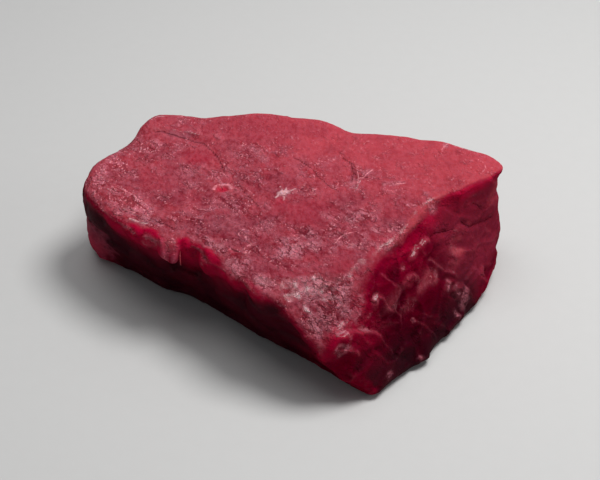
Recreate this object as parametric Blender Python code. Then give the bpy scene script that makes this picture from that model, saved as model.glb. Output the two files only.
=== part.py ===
"""Raw sirloin steak, one thick wedge of lean beef lying on its broad cut.

The steak is one closed solid. A rim of stations runs once round the plan and
says, at each place, where the top edge stands, where the side meets the floor,
how far the side swells, how far the top edge hangs over it and how round that
edge is. The top is a height over the plan. The sides carry the facets of the
cut muscle bundles, and soft lobes break the rim. All sizes are in millimetres
until the mesh is made.
"""

import math
import random
from typing import NamedTuple

import bmesh
import bpy
from mathutils import Vector, kdtree, noise
from mathutils.geometry import delaunay_2d_cdt

MM = 0.001

# The broad sizes of the cut
THICKNESS = 32.8
RISE_TO_RIGHT = 0.052
RISE_TO_BACK = 0.062
FOOT_RADIUS = 2.6
LIP_HEIGHT = 2.6
EDGE_FALL = 0.8

# The front corner falls away as a nose, and the right corner lifts to a thin tip
NOSE_AT = (7.8, -46.6)
NOSE_REACH = 24.0
NOSE_DROP = 12.5
TIP_AT = (61.0, 8.4)
TIP_REACH = 30.0
TIP_LIFT = 1.9

# Slack waves of the top cut, height and length
TOP_WAVES = ((0.7, 21.0), (0.45, 8.5))

# How finely the skin is divided, and how it is softened
SIDE_STEP = 1.72
HIDDEN_STEP = 3.2
HIDDEN_FROM = 14.0
HIDDEN_TO = 30.0
WALL_ROWS = 20
EDGE_ROWS = 3
TOP_STEP = 2.1
FLOOR_STEP = 7.0
RIM_REACH = 1.5
CAP_MARGIN = 0.6
MERGE_DISTANCE = 1e-6
SOFTENINGS = (0.5, 0.5, 0.5)
LAST_SOFTENING = 0.3

# The bundles of muscle that the cut sides show, with the seams between them
BUNDLE_SIZE = 10.5
BUNDLE_STEP = 0.5
BUNDLE_TILT = 0.085
BUNDLE_BLEND = 1.4
BUNDLE_JITTER = 0.42
BUNDLE_ROOM = 0.9
SEAM_DEPTH = 0.6
SEAM_WIDTH = 1.25
SEAM_WANDER = 1.2
WANDER_LENGTH = 7.5
SIDE_NORMAL = 0.45
TOP_NORMAL = 0.85
RANDOM_SEED = 11

# The broad front-right side runs between these two plan places
FACE_FROM = (19.6, -38.2)
FACE_TO = (60.6, 9.8)

# Its bundles, as the way along that side, the height and how far each stands out
FACE_BUNDLES = (
    (-7.0, 16.5, 0.5),
    (-2.5, 7.0, 0.1),
    (2.0, 22.0, 0.2),
    (6.5, 12.5, -0.4),
    (11.5, 21.5, 0.6),
    (10.0, 3.5, 0.3),
    (17.0, 13.0, -0.1),
    (21.5, 5.0, 0.4),
    (23.5, 25.0, 0.1),
    (26.0, 15.0, 0.3),
    (32.5, 29.5, 0.6),
    (33.0, 8.5, -0.3),
    (35.5, 20.5, -0.1),
    (42.0, 31.0, 0.2),
    (43.0, 14.0, 0.5),
    (44.5, 4.5, 0.0),
    (46.5, 23.0, 0.4),
    (52.0, 30.5, -0.2),
    (54.0, 10.5, 0.6),
    (57.0, 20.0, -0.1),
)


class Lobe(NamedTuple):
    """A soft lump or hollow of the skin: where, how wide and how far it stands out."""

    x: float
    y: float
    z: float
    reach: float
    push: float


LOBES = (
    Lobe(-60.4, 14.8, 7.0, 6.5, 1.5),      # low lobe of the left corner
    Lobe(-58.4, 20.8, 28.0, 6.0, 1.0),     # back of the left corner
    Lobe(-48.4, 31.3, 31.0, 3.8, -1.5),    # hollow behind it
    Lobe(-43.9, 41.3, 32.0, 5.0, 1.2),     # back left corner
    Lobe(-28.6, 42.8, 33.0, 2.8, -1.0),    # notch of the back edge
    Lobe(-8.4, 42.3, 33.0, 9.0, 0.9),
    Lobe(11.1, 37.3, 34.5, 4.5, 1.3),      # step of the back edge
    Lobe(18.6, 32.3, 34.5, 3.2, -0.9),
    Lobe(43.1, 26.8, 35.0, 4.0, 1.4),      # lump near the right tip
    Lobe(52.6, -8.2, 5.0, 6.0, 1.3),       # low swell of the right side
    Lobe(36.6, -31.2, 1.5, 4.5, 1.6),      # toe
    Lobe(-51.4, -2.2, 26.0, 4.0, 1.2),     # lobes under the front left rim
    Lobe(-43.4, -8.7, 26.0, 4.0, 1.0),
    Lobe(-34.4, -15.2, 25.5, 3.0, 1.7),
    Lobe(-39.4, -12.7, 29.0, 2.4, -1.0),
    Lobe(-29.9, -16.7, 28.0, 2.4, -1.1),
    Lobe(-23.4, -19.7, 28.5, 4.0, 1.0),
    Lobe(-15.4, -28.2, 26.0, 4.0, -0.9),
    Lobe(9.1, -43.2, 19.0, 3.2, 1.0),      # folds of the nose
    Lobe(12.1, -44.2, 14.0, 2.6, -0.9),
    Lobe(14.1, -43.7, 10.0, 3.2, 0.9),
    Lobe(15.6, 11.8, 34.0, 2.6, -0.7),     # crease of the top
    Lobe(15.9, 7.3, 34.0, 2.4, -0.5),
    Lobe(-21.4, 6.8, 32.0, 2.2, -0.5),     # dimple of the top
)


class Station(NamedTuple):
    """One place on the rim, in plan, going round from the left corner by the front."""

    top_x: float
    top_y: float
    floor_x: float
    floor_y: float
    swell: float
    lip: float
    edge: float


STATIONS = (
    Station(-61.8, 12.8, -61.2, 17.8, 0.5, 0.6, 2.6),
    Station(-59.6, 5.8, -59.4, 13.4, 0.8, 0.9, 2.2),
    Station(-52.4, -1.6, -53.6, 9.2, 1.2, 1.3, 1.6),
    Station(-45.0, -8.8, -46.4, 4.2, 1.8, 1.7, 1.4),
    Station(-37.6, -14.8, -39.0, -1.8, 2.0, 1.8, 1.6),
    Station(-30.4, -16.2, -31.8, -4.4, 2.0, 1.6, 2.0),
    Station(-22.2, -21.2, -24.6, -9.8, 1.6, 1.0, 3.2),
    Station(-14.6, -30.6, -15.6, -17.0, 1.4, 0.8, 2.4),
    Station(-7.4, -37.2, -6.0, -24.6, 0.8, 0.8, 2.2),
    Station(-2.0, -39.8, 1.6, -30.0, 0.6, 0.6, 2.2),
    Station(2.2, -43.8, 8.6, -35.8, 0.5, 0.4, 2.2),
    Station(5.4, -46.0, 14.2, -41.0, 0.6, 0.2, 2.4),
    Station(9.0, -45.4, 21.6, -45.2, 1.2, 0.2, 2.6),
    Station(12.0, -40.8, 27.6, -39.6, 1.5, 0.2, 3.0),
    Station(16.0, -34.2, 33.0, -34.4, 1.6, 0.3, 3.8),
    Station(22.0, -24.4, 39.0, -27.4, 1.4, 0.4, 3.6),
    Station(30.8, -14.6, 44.6, -19.8, 1.0, 0.8, 2.6),
    Station(39.2, -2.8, 51.2, -10.8, 0.8, 0.9, 1.8),
    Station(49.2, 1.8, 57.2, 0.6, 0.4, 1.5, 1.4),
    Station(60.6, 8.4, 61.2, 12.0, 0.0, 2.8, 1.1),
    Station(58.2, 15.6, 60.2, 22.8, 0.4, 1.2, 1.8),
    Station(48.4, 22.6, 52.2, 28.6, 0.8, 0.8, 2.4),
    Station(36.0, 27.8, 40.0, 32.4, 1.0, 0.8, 2.6),
    Station(19.6, 32.6, 21.6, 37.8, 1.2, 0.8, 2.6),
    Station(4.6, 39.4, 3.6, 43.2, 1.2, 0.8, 2.8),
    Station(-10.4, 42.2, -11.0, 45.6, 1.2, 0.8, 3.0),
    Station(-26.4, 43.2, -27.4, 46.2, 1.0, 0.8, 3.0),
    Station(-41.8, 44.0, -44.2, 44.4, 0.8, 0.8, 2.6),
    Station(-50.2, 32.4, -54.8, 32.4, 0.8, 0.8, 2.6),
    Station(-59.0, 22.2, -60.8, 23.8, 0.8, 0.8, 2.6),
)


def smooth_step(low, high, value):
    """0 below low, 1 above high, and an S between them."""
    t = min(1.0, max(0.0, (value - low) / (high - low)))
    return t * t * (3.0 - 2.0 * t)


def station_knots():
    """Where each station lies along the rim, by the plan length of its middle line."""
    middles = [Vector((s.top_x + s.floor_x, s.top_y + s.floor_y)) / 2.0 for s in STATIONS]
    knots = [0.0]
    for here, following in zip(middles, middles[1:] + middles[:1]):
        knots.append(knots[-1] + (following - here).length)
    return knots


KNOTS = station_knots()
RIM_LENGTH = KNOTS[-1]


def along_rim(distance):
    """The station values at a distance round the rim, on one smooth closed curve."""
    count = len(STATIONS)
    distance %= RIM_LENGTH
    index = max(i for i in range(count) if KNOTS[i] <= distance)
    span = KNOTS[index + 1] - KNOTS[index]
    t = (distance - KNOTS[index]) / span

    def knot(i):
        return KNOTS[i % count] + RIM_LENGTH * (i // count)

    def slope(i, field):
        before, after = STATIONS[(i - 1) % count][field], STATIONS[(i + 1) % count][field]
        return (after - before) / (knot(i + 1) - knot(i - 1))

    values = []
    for field in range(len(Station._fields)):
        start, end = STATIONS[index][field], STATIONS[(index + 1) % count][field]
        rise_start, rise_end = slope(index, field) * span, slope(index + 1, field) * span
        values.append(
            start * (2 * t**3 - 3 * t**2 + 1)
            + rise_start * (t**3 - 2 * t**2 + t)
            + end * (3 * t**2 - 2 * t**3)
            + rise_end * (t**3 - t**2)
        )
    return Station(*values)


def top_height(x, y):
    """The height of the top cut over the floor."""
    nose = max(0.0, 1.0 - math.dist((x, y), NOSE_AT) / NOSE_REACH)
    tip = math.dist((x, y), TIP_AT) / TIP_REACH
    height = THICKNESS + RISE_TO_RIGHT * x + RISE_TO_BACK * y
    height -= NOSE_DROP * nose**2
    height += TIP_LIFT * (1.0 - smooth_step(0.0, 1.0, tip))
    for rise, length in TOP_WAVES:
        height += rise * noise.noise(Vector((x / length, y / length, length)))
    return height


def outward(distance):
    """The plan direction that points out of the steak at a distance round the rim."""
    before, after = along_rim(distance - RIM_REACH), along_rim(distance + RIM_REACH)
    run_x = after.top_x + after.floor_x - before.top_x - before.floor_x
    run_y = after.top_y + after.floor_y - before.top_y - before.floor_y
    return Vector((run_y, -run_x, 0.0)).normalized()


def rim_distances():
    """Distances round the rim for the columns: close together where the side shows."""
    distances = []
    distance = 0.0
    while distance < RIM_LENGTH:
        distances.append(distance)
        here = along_rim(distance)
        hidden = smooth_step(HIDDEN_FROM, HIDDEN_TO, (here.top_y + here.floor_y) / 2.0)
        distance += SIDE_STEP + (HIDDEN_STEP - SIDE_STEP) * hidden
    return [d * RIM_LENGTH / distance for d in distances]


def side_column(distance):
    """One column of points, from inside the top edge, over it and down to the floor."""
    here = along_rim(distance)
    out = outward(distance)
    top, foot = Vector((here.top_x, here.top_y, 0.0)), Vector((here.floor_x, here.floor_y, 0.0))
    rim_height = top_height(top.x, top.y)
    column = []
    for row in range(EDGE_ROWS + 1):
        angle = math.pi / 2.0 * row / EDGE_ROWS
        point = top - out * here.edge * (1.0 - math.sin(angle))
        level = top_height(point.x, point.y) * (1.0 - row / EDGE_ROWS)
        point.z = level + rim_height * row / EDGE_ROWS
        point.z -= EDGE_FALL * here.edge * (1.0 - math.cos(angle))
        column.append(point)
    start = column[-1].z
    for row in range(1, WALL_ROWS + 1):
        v = row / WALL_ROWS
        point = top.lerp(foot, v)
        point.z = start + (FOOT_RADIUS - start) * v
        under_lip = 1.0 - math.exp(-(((start - point.z) / LIP_HEIGHT) ** 2))
        point += out * (here.swell * math.sin(math.pi * v) - here.lip * under_lip * (1.0 - v))
        column.append(point)
    for angle in (math.pi / 4.0, math.pi / 2.0):
        point = foot - out * FOOT_RADIUS * (1.0 - math.cos(angle))
        point.z = FOOT_RADIUS * (1.0 - math.sin(angle))
        column.append(point)
    return column


class Bundle(NamedTuple):
    """One bundle of muscle: its middle, how far it stands out and how it leans."""

    middle: Vector
    lift: float
    lean: Vector


def muscle_bundles():
    """The bundles of the front-right side, then others at random through the rest."""
    dice = random.Random(RANDOM_SEED)
    start, end = Vector(FACE_FROM), Vector(FACE_TO)
    way = (end - start).normalized()
    bundles = []
    for run, height, lift in FACE_BUNDLES:
        place = start + way * run
        middle = Vector((place.x, place.y, height))
        bundles.append(Bundle(middle, lift, random_vector(dice, BUNDLE_TILT)))
    placed = tree_of(bundles)
    step = BUNDLE_SIZE
    for column in range(-7, 8):
        for line in range(-5, 6):
            for level in range(5):
                middle = Vector((column, line, level)) * step
                middle += random_vector(dice, BUNDLE_JITTER * step)
                if placed.find(middle)[2] > BUNDLE_ROOM * step:
                    lift = dice.uniform(-BUNDLE_STEP, BUNDLE_STEP)
                    bundles.append(Bundle(middle, lift, random_vector(dice, BUNDLE_TILT)))
    return bundles


def tree_of(bundles):
    """The middles of the bundles, ready to be asked which is nearest."""
    middles = kdtree.KDTree(len(bundles))
    for index, bundle in enumerate(bundles):
        middles.insert(bundle.middle, index)
    middles.balance()
    return middles


def random_vector(dice, reach):
    """A vector whose parts are each within the reach of zero."""
    return Vector([dice.uniform(-reach, reach) for _ in range(3)])


def bundle_relief(place, bundles, middles):
    """How far the cut bundles stand out at a place of the side, below zero in a seam."""
    wander = noise.noise_vector(place / WANDER_LENGTH)
    place = place + wander * SEAM_WANDER
    (_, first, near), (_, second, far) = middles.find_n(place, 2)
    gap = far - near
    own = 0.5 + 0.5 * smooth_step(0.0, BUNDLE_BLEND, gap)
    relief = -SEAM_DEPTH * math.exp(-((gap / SEAM_WIDTH) ** 2))
    for index, share in ((first, own), (second, 1.0 - own)):
        bundle = bundles[index]
        relief += share * (bundle.lift + (place - bundle.middle).dot(bundle.lean))
    return relief


def carve(shell):
    """Pushes the skin in and out by the bundles of the sides and by the lobes."""
    bundles = muscle_bundles()
    middles = tree_of(bundles)
    shell.normal_update()
    pushes = []
    for vertex in shell.verts:
        above_foot = smooth_step(0.0, 1.5 * FOOT_RADIUS, vertex.co.z)
        push = 0.0
        side = 1.0 - smooth_step(SIDE_NORMAL, TOP_NORMAL, vertex.normal.z)
        if side * above_foot > 0.0:
            push += side * above_foot * bundle_relief(vertex.co, bundles, middles)
        for lobe in LOBES:
            nearness = (vertex.co - Vector(lobe[:3])).length / lobe.reach
            push += lobe.push * math.exp(-(nearness**2)) * min(1.0, vertex.co.z)
        pushes.append(vertex.normal * push)
    for vertex, push in zip(shell.verts, pushes):
        vertex.co += push
        vertex.co.z = max(0.0, vertex.co.z)


def filled(ring, step, height):
    """Points and faces that fill a closed ring of points, over an even grid in plan."""
    flat = [Vector((p.x, p.y)) for p in ring]
    count = len(flat)
    xs, ys = [p.x for p in flat], [p.y for p in flat]
    inside = []
    pitch = step * math.sqrt(0.75)
    for row in range(int((max(ys) - min(ys)) / pitch) + 2):
        y = min(ys) + row * pitch
        x = min(xs) + (step / 2.0 if row % 2 else 0.0)
        while x < max(xs):
            place = Vector((x, y))
            if well_inside(place, flat, step * CAP_MARGIN):
                inside.append(place)
            x += step
    edges = [(i, (i + 1) % count) for i in range(count)]
    points, _, faces, *_ = delaunay_2d_cdt(flat + inside, edges, [], 1, MERGE_DISTANCE)
    return [Vector((p.x, p.y, height(p.x, p.y))) for p in points], faces


def well_inside(place, ring, margin):
    """Whether a plan point is inside a ring and at least the margin from its edge."""
    inside = False
    for a, b in zip(ring, ring[1:] + ring[:1]):
        if (a.y > place.y) != (b.y > place.y):
            if place.x < a.x + (b.x - a.x) * (place.y - a.y) / (b.y - a.y):
                inside = not inside
        run = b - a
        share = min(1.0, max(0.0, (place - a).dot(run) / run.length_squared))
        if (place - a - run * share).length < margin:
            return False
    return inside


def steak_mesh():
    """The whole skin as one closed mesh, in millimetres."""
    columns = [side_column(d) for d in rim_distances()]
    shell = bmesh.new()
    count, rows = len(columns), len(columns[0])
    skin = [[shell.verts.new(p) for p in column] for column in columns]
    for i in range(count):
        left, right = skin[i], skin[(i + 1) % count]
        for j in range(rows - 1):
            shell.faces.new((left[j], left[j + 1], right[j + 1], right[j]))
    top_ring = [column[0] for column in columns]
    floor_ring = [column[-1] for column in columns]
    caps = (
        (filled(top_ring, TOP_STEP, top_height), [column[0] for column in skin], False),
        (filled(floor_ring, FLOOR_STEP, lambda x, y: 0.0), [column[-1] for column in skin], True),
    )
    for (points, faces), ring, turned in caps:
        corners = ring + [shell.verts.new(p) for p in points[count:]]
        for face in faces:
            loop = [corners[i] for i in face]
            shell.faces.new(reversed(loop) if turned else loop)
    bmesh.ops.triangulate(shell, faces=shell.faces[:])
    bmesh.ops.recalc_face_normals(shell, faces=shell.faces[:])
    for share in SOFTENINGS:
        soften(shell, share)
    carve(shell)
    soften(shell, LAST_SOFTENING)
    return shell


def soften(shell, share):
    """Moves the skin above the foot towards the middle of its neighbours."""
    standing = [v for v in shell.verts if v.co.z > FOOT_RADIUS]
    axes = {"use_axis_x": True, "use_axis_y": True, "use_axis_z": True}
    bmesh.ops.smooth_vert(shell, verts=standing, factor=share, **axes)


def stand_on_origin(shell):
    """Moves the skin so that the middle of its footprint's box is the origin."""
    for axis in (0, 1):
        values = [v.co[axis] for v in shell.verts]
        middle = (min(values) + max(values)) / 2.0
        for vertex in shell.verts:
            vertex.co[axis] -= middle
    lowest = min(v.co.z for v in shell.verts)
    for vertex in shell.verts:
        vertex.co.z -= lowest


def lean_beef():
    """Deep red raw meat with a moist surface."""
    material = bpy.data.materials.new("lean_beef")
    material.use_nodes = True
    shader = material.node_tree.nodes["Principled BSDF"]
    shader.inputs["Base Color"].default_value = (0.36, 0.025, 0.045, 1.0)
    shader.inputs["Roughness"].default_value = 0.35
    shader.inputs["Metallic"].default_value = 0.0
    return material


def make_steak():
    """The finished object."""
    shell = steak_mesh()
    stand_on_origin(shell)
    bmesh.ops.scale(shell, vec=(MM, MM, MM), verts=shell.verts[:])
    mesh = bpy.data.meshes.new("steak")
    shell.to_mesh(mesh)
    shell.free()
    mesh.shade_smooth()
    steak = bpy.data.objects.new("steak", mesh)
    mesh.materials.append(lean_beef())
    bpy.context.scene.collection.objects.link(steak)
    return steak


for leftover in list(bpy.data.objects):
    bpy.data.objects.remove(leftover)
make_steak()
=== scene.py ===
"""Raw sirloin steak: a thick wedge of lean beef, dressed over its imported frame.

The skin starts as a copy of the solid, is remeshed finely and carved with the
seams of the muscle bundles, the creases and the pebbled grain. Thin membranes
hang at its rim. All sizes in the classes are in millimetres.
"""

import logging
import math
import random
from dataclasses import dataclass, field
from enum import Enum
from typing import Sequence, Union

import bpy
import numpy as np
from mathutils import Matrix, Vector, kdtree, noise


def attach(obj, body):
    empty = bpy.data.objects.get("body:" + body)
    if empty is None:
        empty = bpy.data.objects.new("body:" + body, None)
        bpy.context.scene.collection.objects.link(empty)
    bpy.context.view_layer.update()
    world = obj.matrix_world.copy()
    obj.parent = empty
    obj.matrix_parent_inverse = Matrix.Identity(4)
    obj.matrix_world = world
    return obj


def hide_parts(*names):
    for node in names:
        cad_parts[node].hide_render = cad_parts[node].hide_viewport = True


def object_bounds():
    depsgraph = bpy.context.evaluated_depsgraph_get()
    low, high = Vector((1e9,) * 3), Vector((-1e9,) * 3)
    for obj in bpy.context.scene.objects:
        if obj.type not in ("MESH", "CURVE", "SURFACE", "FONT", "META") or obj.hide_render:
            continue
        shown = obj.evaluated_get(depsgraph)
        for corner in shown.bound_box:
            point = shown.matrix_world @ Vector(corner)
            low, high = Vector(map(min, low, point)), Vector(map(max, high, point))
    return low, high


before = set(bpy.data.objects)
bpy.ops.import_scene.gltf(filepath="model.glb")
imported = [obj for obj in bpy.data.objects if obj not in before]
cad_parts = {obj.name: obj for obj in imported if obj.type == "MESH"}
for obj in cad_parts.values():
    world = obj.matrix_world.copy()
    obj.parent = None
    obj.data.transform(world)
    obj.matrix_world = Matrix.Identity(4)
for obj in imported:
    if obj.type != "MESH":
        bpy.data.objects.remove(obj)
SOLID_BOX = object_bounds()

LOG = logging.getLogger("steak")
MM = 0.001

Colour = tuple[float, float, float, float]
Point = tuple[float, float, float]
Value = Union[bpy.types.NodeSocket, float, Colour, Vector]


def deselect_all() -> None:
    """Leaves object mode with nothing selected."""
    if bpy.context.object and bpy.context.object.mode != "OBJECT":
        bpy.ops.object.mode_set(mode="OBJECT")
    bpy.ops.object.select_all(action="DESELECT")


def make_active(piece: bpy.types.Object) -> None:
    """Selects one piece alone and makes it the active one.

    Args:
        piece: the object that the next operators act on.
    """
    deselect_all()
    piece.select_set(True)
    bpy.context.view_layer.objects.active = piece


def apply_modifier(piece: bpy.types.Object, kind: str, **settings: object) -> None:
    """Adds one modifier to a piece and applies it.

    Args:
        piece: the object to change.
        kind: Blender's name for the modifier type.
        **settings: the modifier's properties.
    """
    make_active(piece)
    modifier = piece.modifiers.new(kind.lower(), kind)
    for name, value in settings.items():
        setattr(modifier, name, value)
    bpy.ops.object.modifier_apply(modifier=modifier.name)


def smooth_step(low: float, high: float, value: np.ndarray) -> np.ndarray:
    """An S-shaped rise from 0 to 1.

    Args:
        low: where the rise starts.
        high: where it ends.
        value: the numbers to map.

    Returns:
        The mapped numbers, each from 0 to 1.
    """
    share = np.clip((value - low) / (high - low), 0.0, 1.0)
    return share * share * (3.0 - 2.0 * share)


def noise_at(places: np.ndarray, length: float, offset: float = 0.0) -> np.ndarray:
    """Smooth noise of about -1 to 1 at each place.

    Args:
        places: one point a row, in millimetres.
        length: the length of one wave, in millimetres.
        offset: moves the pattern, so that two uses differ.

    Returns:
        One value for each point.
    """
    scaled = places / length + offset
    return np.array([noise.noise(Vector(p)) for p in scaled])


class Plane(Enum):
    """The surface that a mark lies on."""

    TOP = "top cut"
    FACE = "front right side"


class Trace(Enum):
    """What a mark is."""

    CREASE = "crease"
    VEIN = "vein"
    # a painted highlight streak
    STREAK = "streak"
    LEDGE = "ledge"


class Look(Enum):
    """What a patch of the surface looks like."""

    # glossy, with painted glints
    WET = "wet and cracked"
    CALM = "smooth and even"
    MAUVE = "dull and greyish"
    RED = "bright red"
    PINK = "pale and swollen"
    # painted sheen and glint specks
    SHEEN = "pale, silky and finely cracked"


@dataclass(frozen=True)
class Mark:
    """A crease, a pale vein, a painted highlight streak or the upper edge of a fold, along a path on the surface."""

    trace: Trace
    plane: Plane
    path: tuple[Point, ...]
    width: float = 0.5
    lift: float = 0.0
    reach: float = 4.0


@dataclass(frozen=True)
class Lobe:
    """A soft swelling of the side or of the rim."""

    x: float
    y: float
    z: float
    across: float
    tall: float
    lift: float


@dataclass(frozen=True)
class Patch:
    """A place on the surface with its own gloss and tone, or with painted glints or sheen, as a soft ellipse."""

    look: Look
    x: float
    y: float
    z: float
    reach_x: float
    reach_y: float
    turn: float
    strength: float


@dataclass(frozen=True)
class CutMuscle:
    """Finish of the lean cut surfaces, with painted glints, highlights, glow and shade among its colours."""

    top: Colour = (0.365, 0.036, 0.053, 1.0)
    top_deep: Colour = (0.180, 0.011, 0.024, 1.0)
    top_pale: Colour = (0.445, 0.052, 0.071, 1.0)
    top_red: Colour = (0.42, 0.012, 0.036, 1.0)
    calm: Colour = (0.30, 0.026, 0.045, 1.0)
    mauve: Colour = (0.25, 0.050, 0.072, 1.0)
    # painted highlight colour for glints, sheen and lit lines
    glint: Colour = (0.64, 0.175, 0.23, 1.0)
    # painted glints: bright specks and streaks of reflected light
    glint_speck: Colour = (0.86, 0.29, 0.345, 1.0)
    # painted glints on the wet patches
    wet_glint: Colour = (0.62, 0.205, 0.255, 1.0)
    # the dark of the cracks, also used as painted shade in creases, low spots and wrinkles
    crack_and_shade: Colour = (0.125, 0.004, 0.014, 1.0)
    side: Colour = (0.25, 0.0010, 0.020, 1.0)
    side_deep: Colour = (0.060, 0.0002, 0.0060, 1.0)
    side_dusty: Colour = (0.195, 0.013, 0.030, 1.0)
    # painted shade
    painted_side_shade: Colour = (0.015, 0.0016, 0.0046, 1.0)
    side_pink: Colour = (0.58, 0.090, 0.150, 1.0)
    # pale seams and veins, also a painted highlight on the fold edges
    pale_seam_and_highlight: Colour = (0.40, 0.050, 0.085, 1.0)
    # painted red glow under the rim and the ridge
    rim: Colour = (0.54, 0.0035, 0.042, 1.0)
    eye: Colour = (0.46, 0.010, 0.036, 1.0)
    fat: Colour = (0.76, 0.40, 0.43, 1.0)
    roughness: float = 0.40
    wet_roughness: float = 0.22
    subsurface: float = 0.20
    subsurface_scale: float = 0.0022
    coat_roughness: float = 0.20
    specular: float = 0.0


@dataclass(frozen=True)
class WetMembrane:
    """Finish of the thin flaps and threads of connective tissue."""

    thin: Colour = (0.52, 0.070, 0.095, 1.0)
    thick: Colour = (0.36, 0.006, 0.022, 1.0)
    roughness: float = 0.26
    subsurface: float = 0.35
    subsurface_scale: float = 0.0015


@dataclass(frozen=True)
class PaleFloor:
    """Finish of the plain studio floor."""

    colour: Colour = (0.56, 0.555, 0.545, 1.0)
    roughness: float = 0.75


class Graph:
    """Adds and joins the nodes of one shader tree."""

    def __init__(self, tree: bpy.types.NodeTree) -> None:
        """Keeps the tree that the nodes go into."""
        self.tree = tree

    def node(self, kind: str, **settings: object) -> bpy.types.Node:
        """Adds one node.

        Args:
            kind: Blender's name for the node type.
            **settings: the node's properties.

        Returns:
            The new node.
        """
        made = self.tree.nodes.new(kind)
        for name, value in settings.items():
            setattr(made, name, value)
        return made

    def feed(self, socket: bpy.types.NodeSocket, value: Value) -> None:
        """Joins an output to an input, or sets the input to a number or a colour.

        Args:
            socket: the input.
            value: an output, a number, a colour or a vector.
        """
        if isinstance(value, bpy.types.NodeSocket):
            self.tree.links.new(value, socket)
        else:
            socket.default_value = value

    def math(self, operation: str, first: Value, second: Value = 0.0) -> bpy.types.NodeSocket:
        """One sum of two values.

        Args:
            operation: Blender's name for the operation.
            first: the first value.
            second: the second value.

        Returns:
            The result's output.
        """
        made = self.node("ShaderNodeMath", operation=operation)
        self.feed(made.inputs[0], first)
        self.feed(made.inputs[1], second)
        return made.outputs[0]

    def rise(self, value: Value, low: float, high: float) -> bpy.types.NodeSocket:
        """An S-shaped map from low and high to 0 and 1, turned over where low is the larger.

        Args:
            value: the value to map.
            low: what becomes 0.
            high: what becomes 1.

        Returns:
            The mapped value's output.
        """
        made = self.node("ShaderNodeMapRange", interpolation_type="SMOOTHSTEP")
        flipped = low > high
        self.feed(made.inputs["Value"], value)
        made.inputs["From Min"].default_value = min(low, high)
        made.inputs["From Max"].default_value = max(low, high)
        made.inputs["To Min"].default_value = 1.0 if flipped else 0.0
        made.inputs["To Max"].default_value = 0.0 if flipped else 1.0
        return made.outputs[0]

    def mix(self, share: Value, first: Value, second: Value) -> bpy.types.NodeSocket:
        """A mix of two colours.

        Args:
            share: how much of the second colour there is.
            first: the first colour.
            second: the second colour.

        Returns:
            The mixed colour's output.
        """
        made = self.node("ShaderNodeMix", data_type="RGBA")
        self.feed(made.inputs[0], share)
        self.feed(made.inputs[6], first)
        self.feed(made.inputs[7], second)
        return made.outputs[2]

    def blend(self, share: Value, first: Value, second: Value) -> bpy.types.NodeSocket:
        """A mix of two values.

        Args:
            share: how much of the second value there is.
            first: the first value.
            second: the second value.

        Returns:
            The mixed value's output.
        """
        made = self.node("ShaderNodeMix", data_type="FLOAT")
        self.feed(made.inputs[0], share)
        self.feed(made.inputs[2], first)
        self.feed(made.inputs[3], second)
        return made.outputs[0]

    def attribute(self, name: str) -> bpy.types.NodeSocket:
        """The value of one of the mesh's own attributes."""
        return self.node("ShaderNodeAttribute", attribute_name=name).outputs["Fac"]

    def grain(
        self, vector: Value, length: float, detail: float = 2.0, distortion: float = 0.0
    ) -> bpy.types.NodeSocket:
        """Noise of a given wave length.

        Args:
            vector: coordinates in millimetres.
            length: one wave, in millimetres.
            detail: the number of finer octaves.
            distortion: how far the noise bends itself.

        Returns:
            The noise's value output, about 0.5 in the middle.
        """
        made = self.node("ShaderNodeTexNoise")
        self.feed(made.inputs["Vector"], vector)
        made.inputs["Scale"].default_value = 1.0 / length
        made.inputs["Detail"].default_value = detail
        made.inputs["Distortion"].default_value = distortion
        return made.outputs["Fac"]

    def turned(self, vector: Value, turn: Point, stretch: Point) -> bpy.types.NodeSocket:
        """Coordinates turned and then stretched, for grain that runs one way.

        Args:
            vector: the coordinates.
            turn: angles in degrees.
            stretch: factors, where a small one makes the grain long.

        Returns:
            The new coordinates' output.
        """
        made = self.node("ShaderNodeMapping", vector_type="TEXTURE")
        self.feed(made.inputs["Vector"], vector)
        made.inputs["Rotation"].default_value = [math.radians(a) for a in turn]
        made.inputs["Scale"].default_value = [1.0 / s for s in stretch]
        return made.outputs[0]


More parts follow.
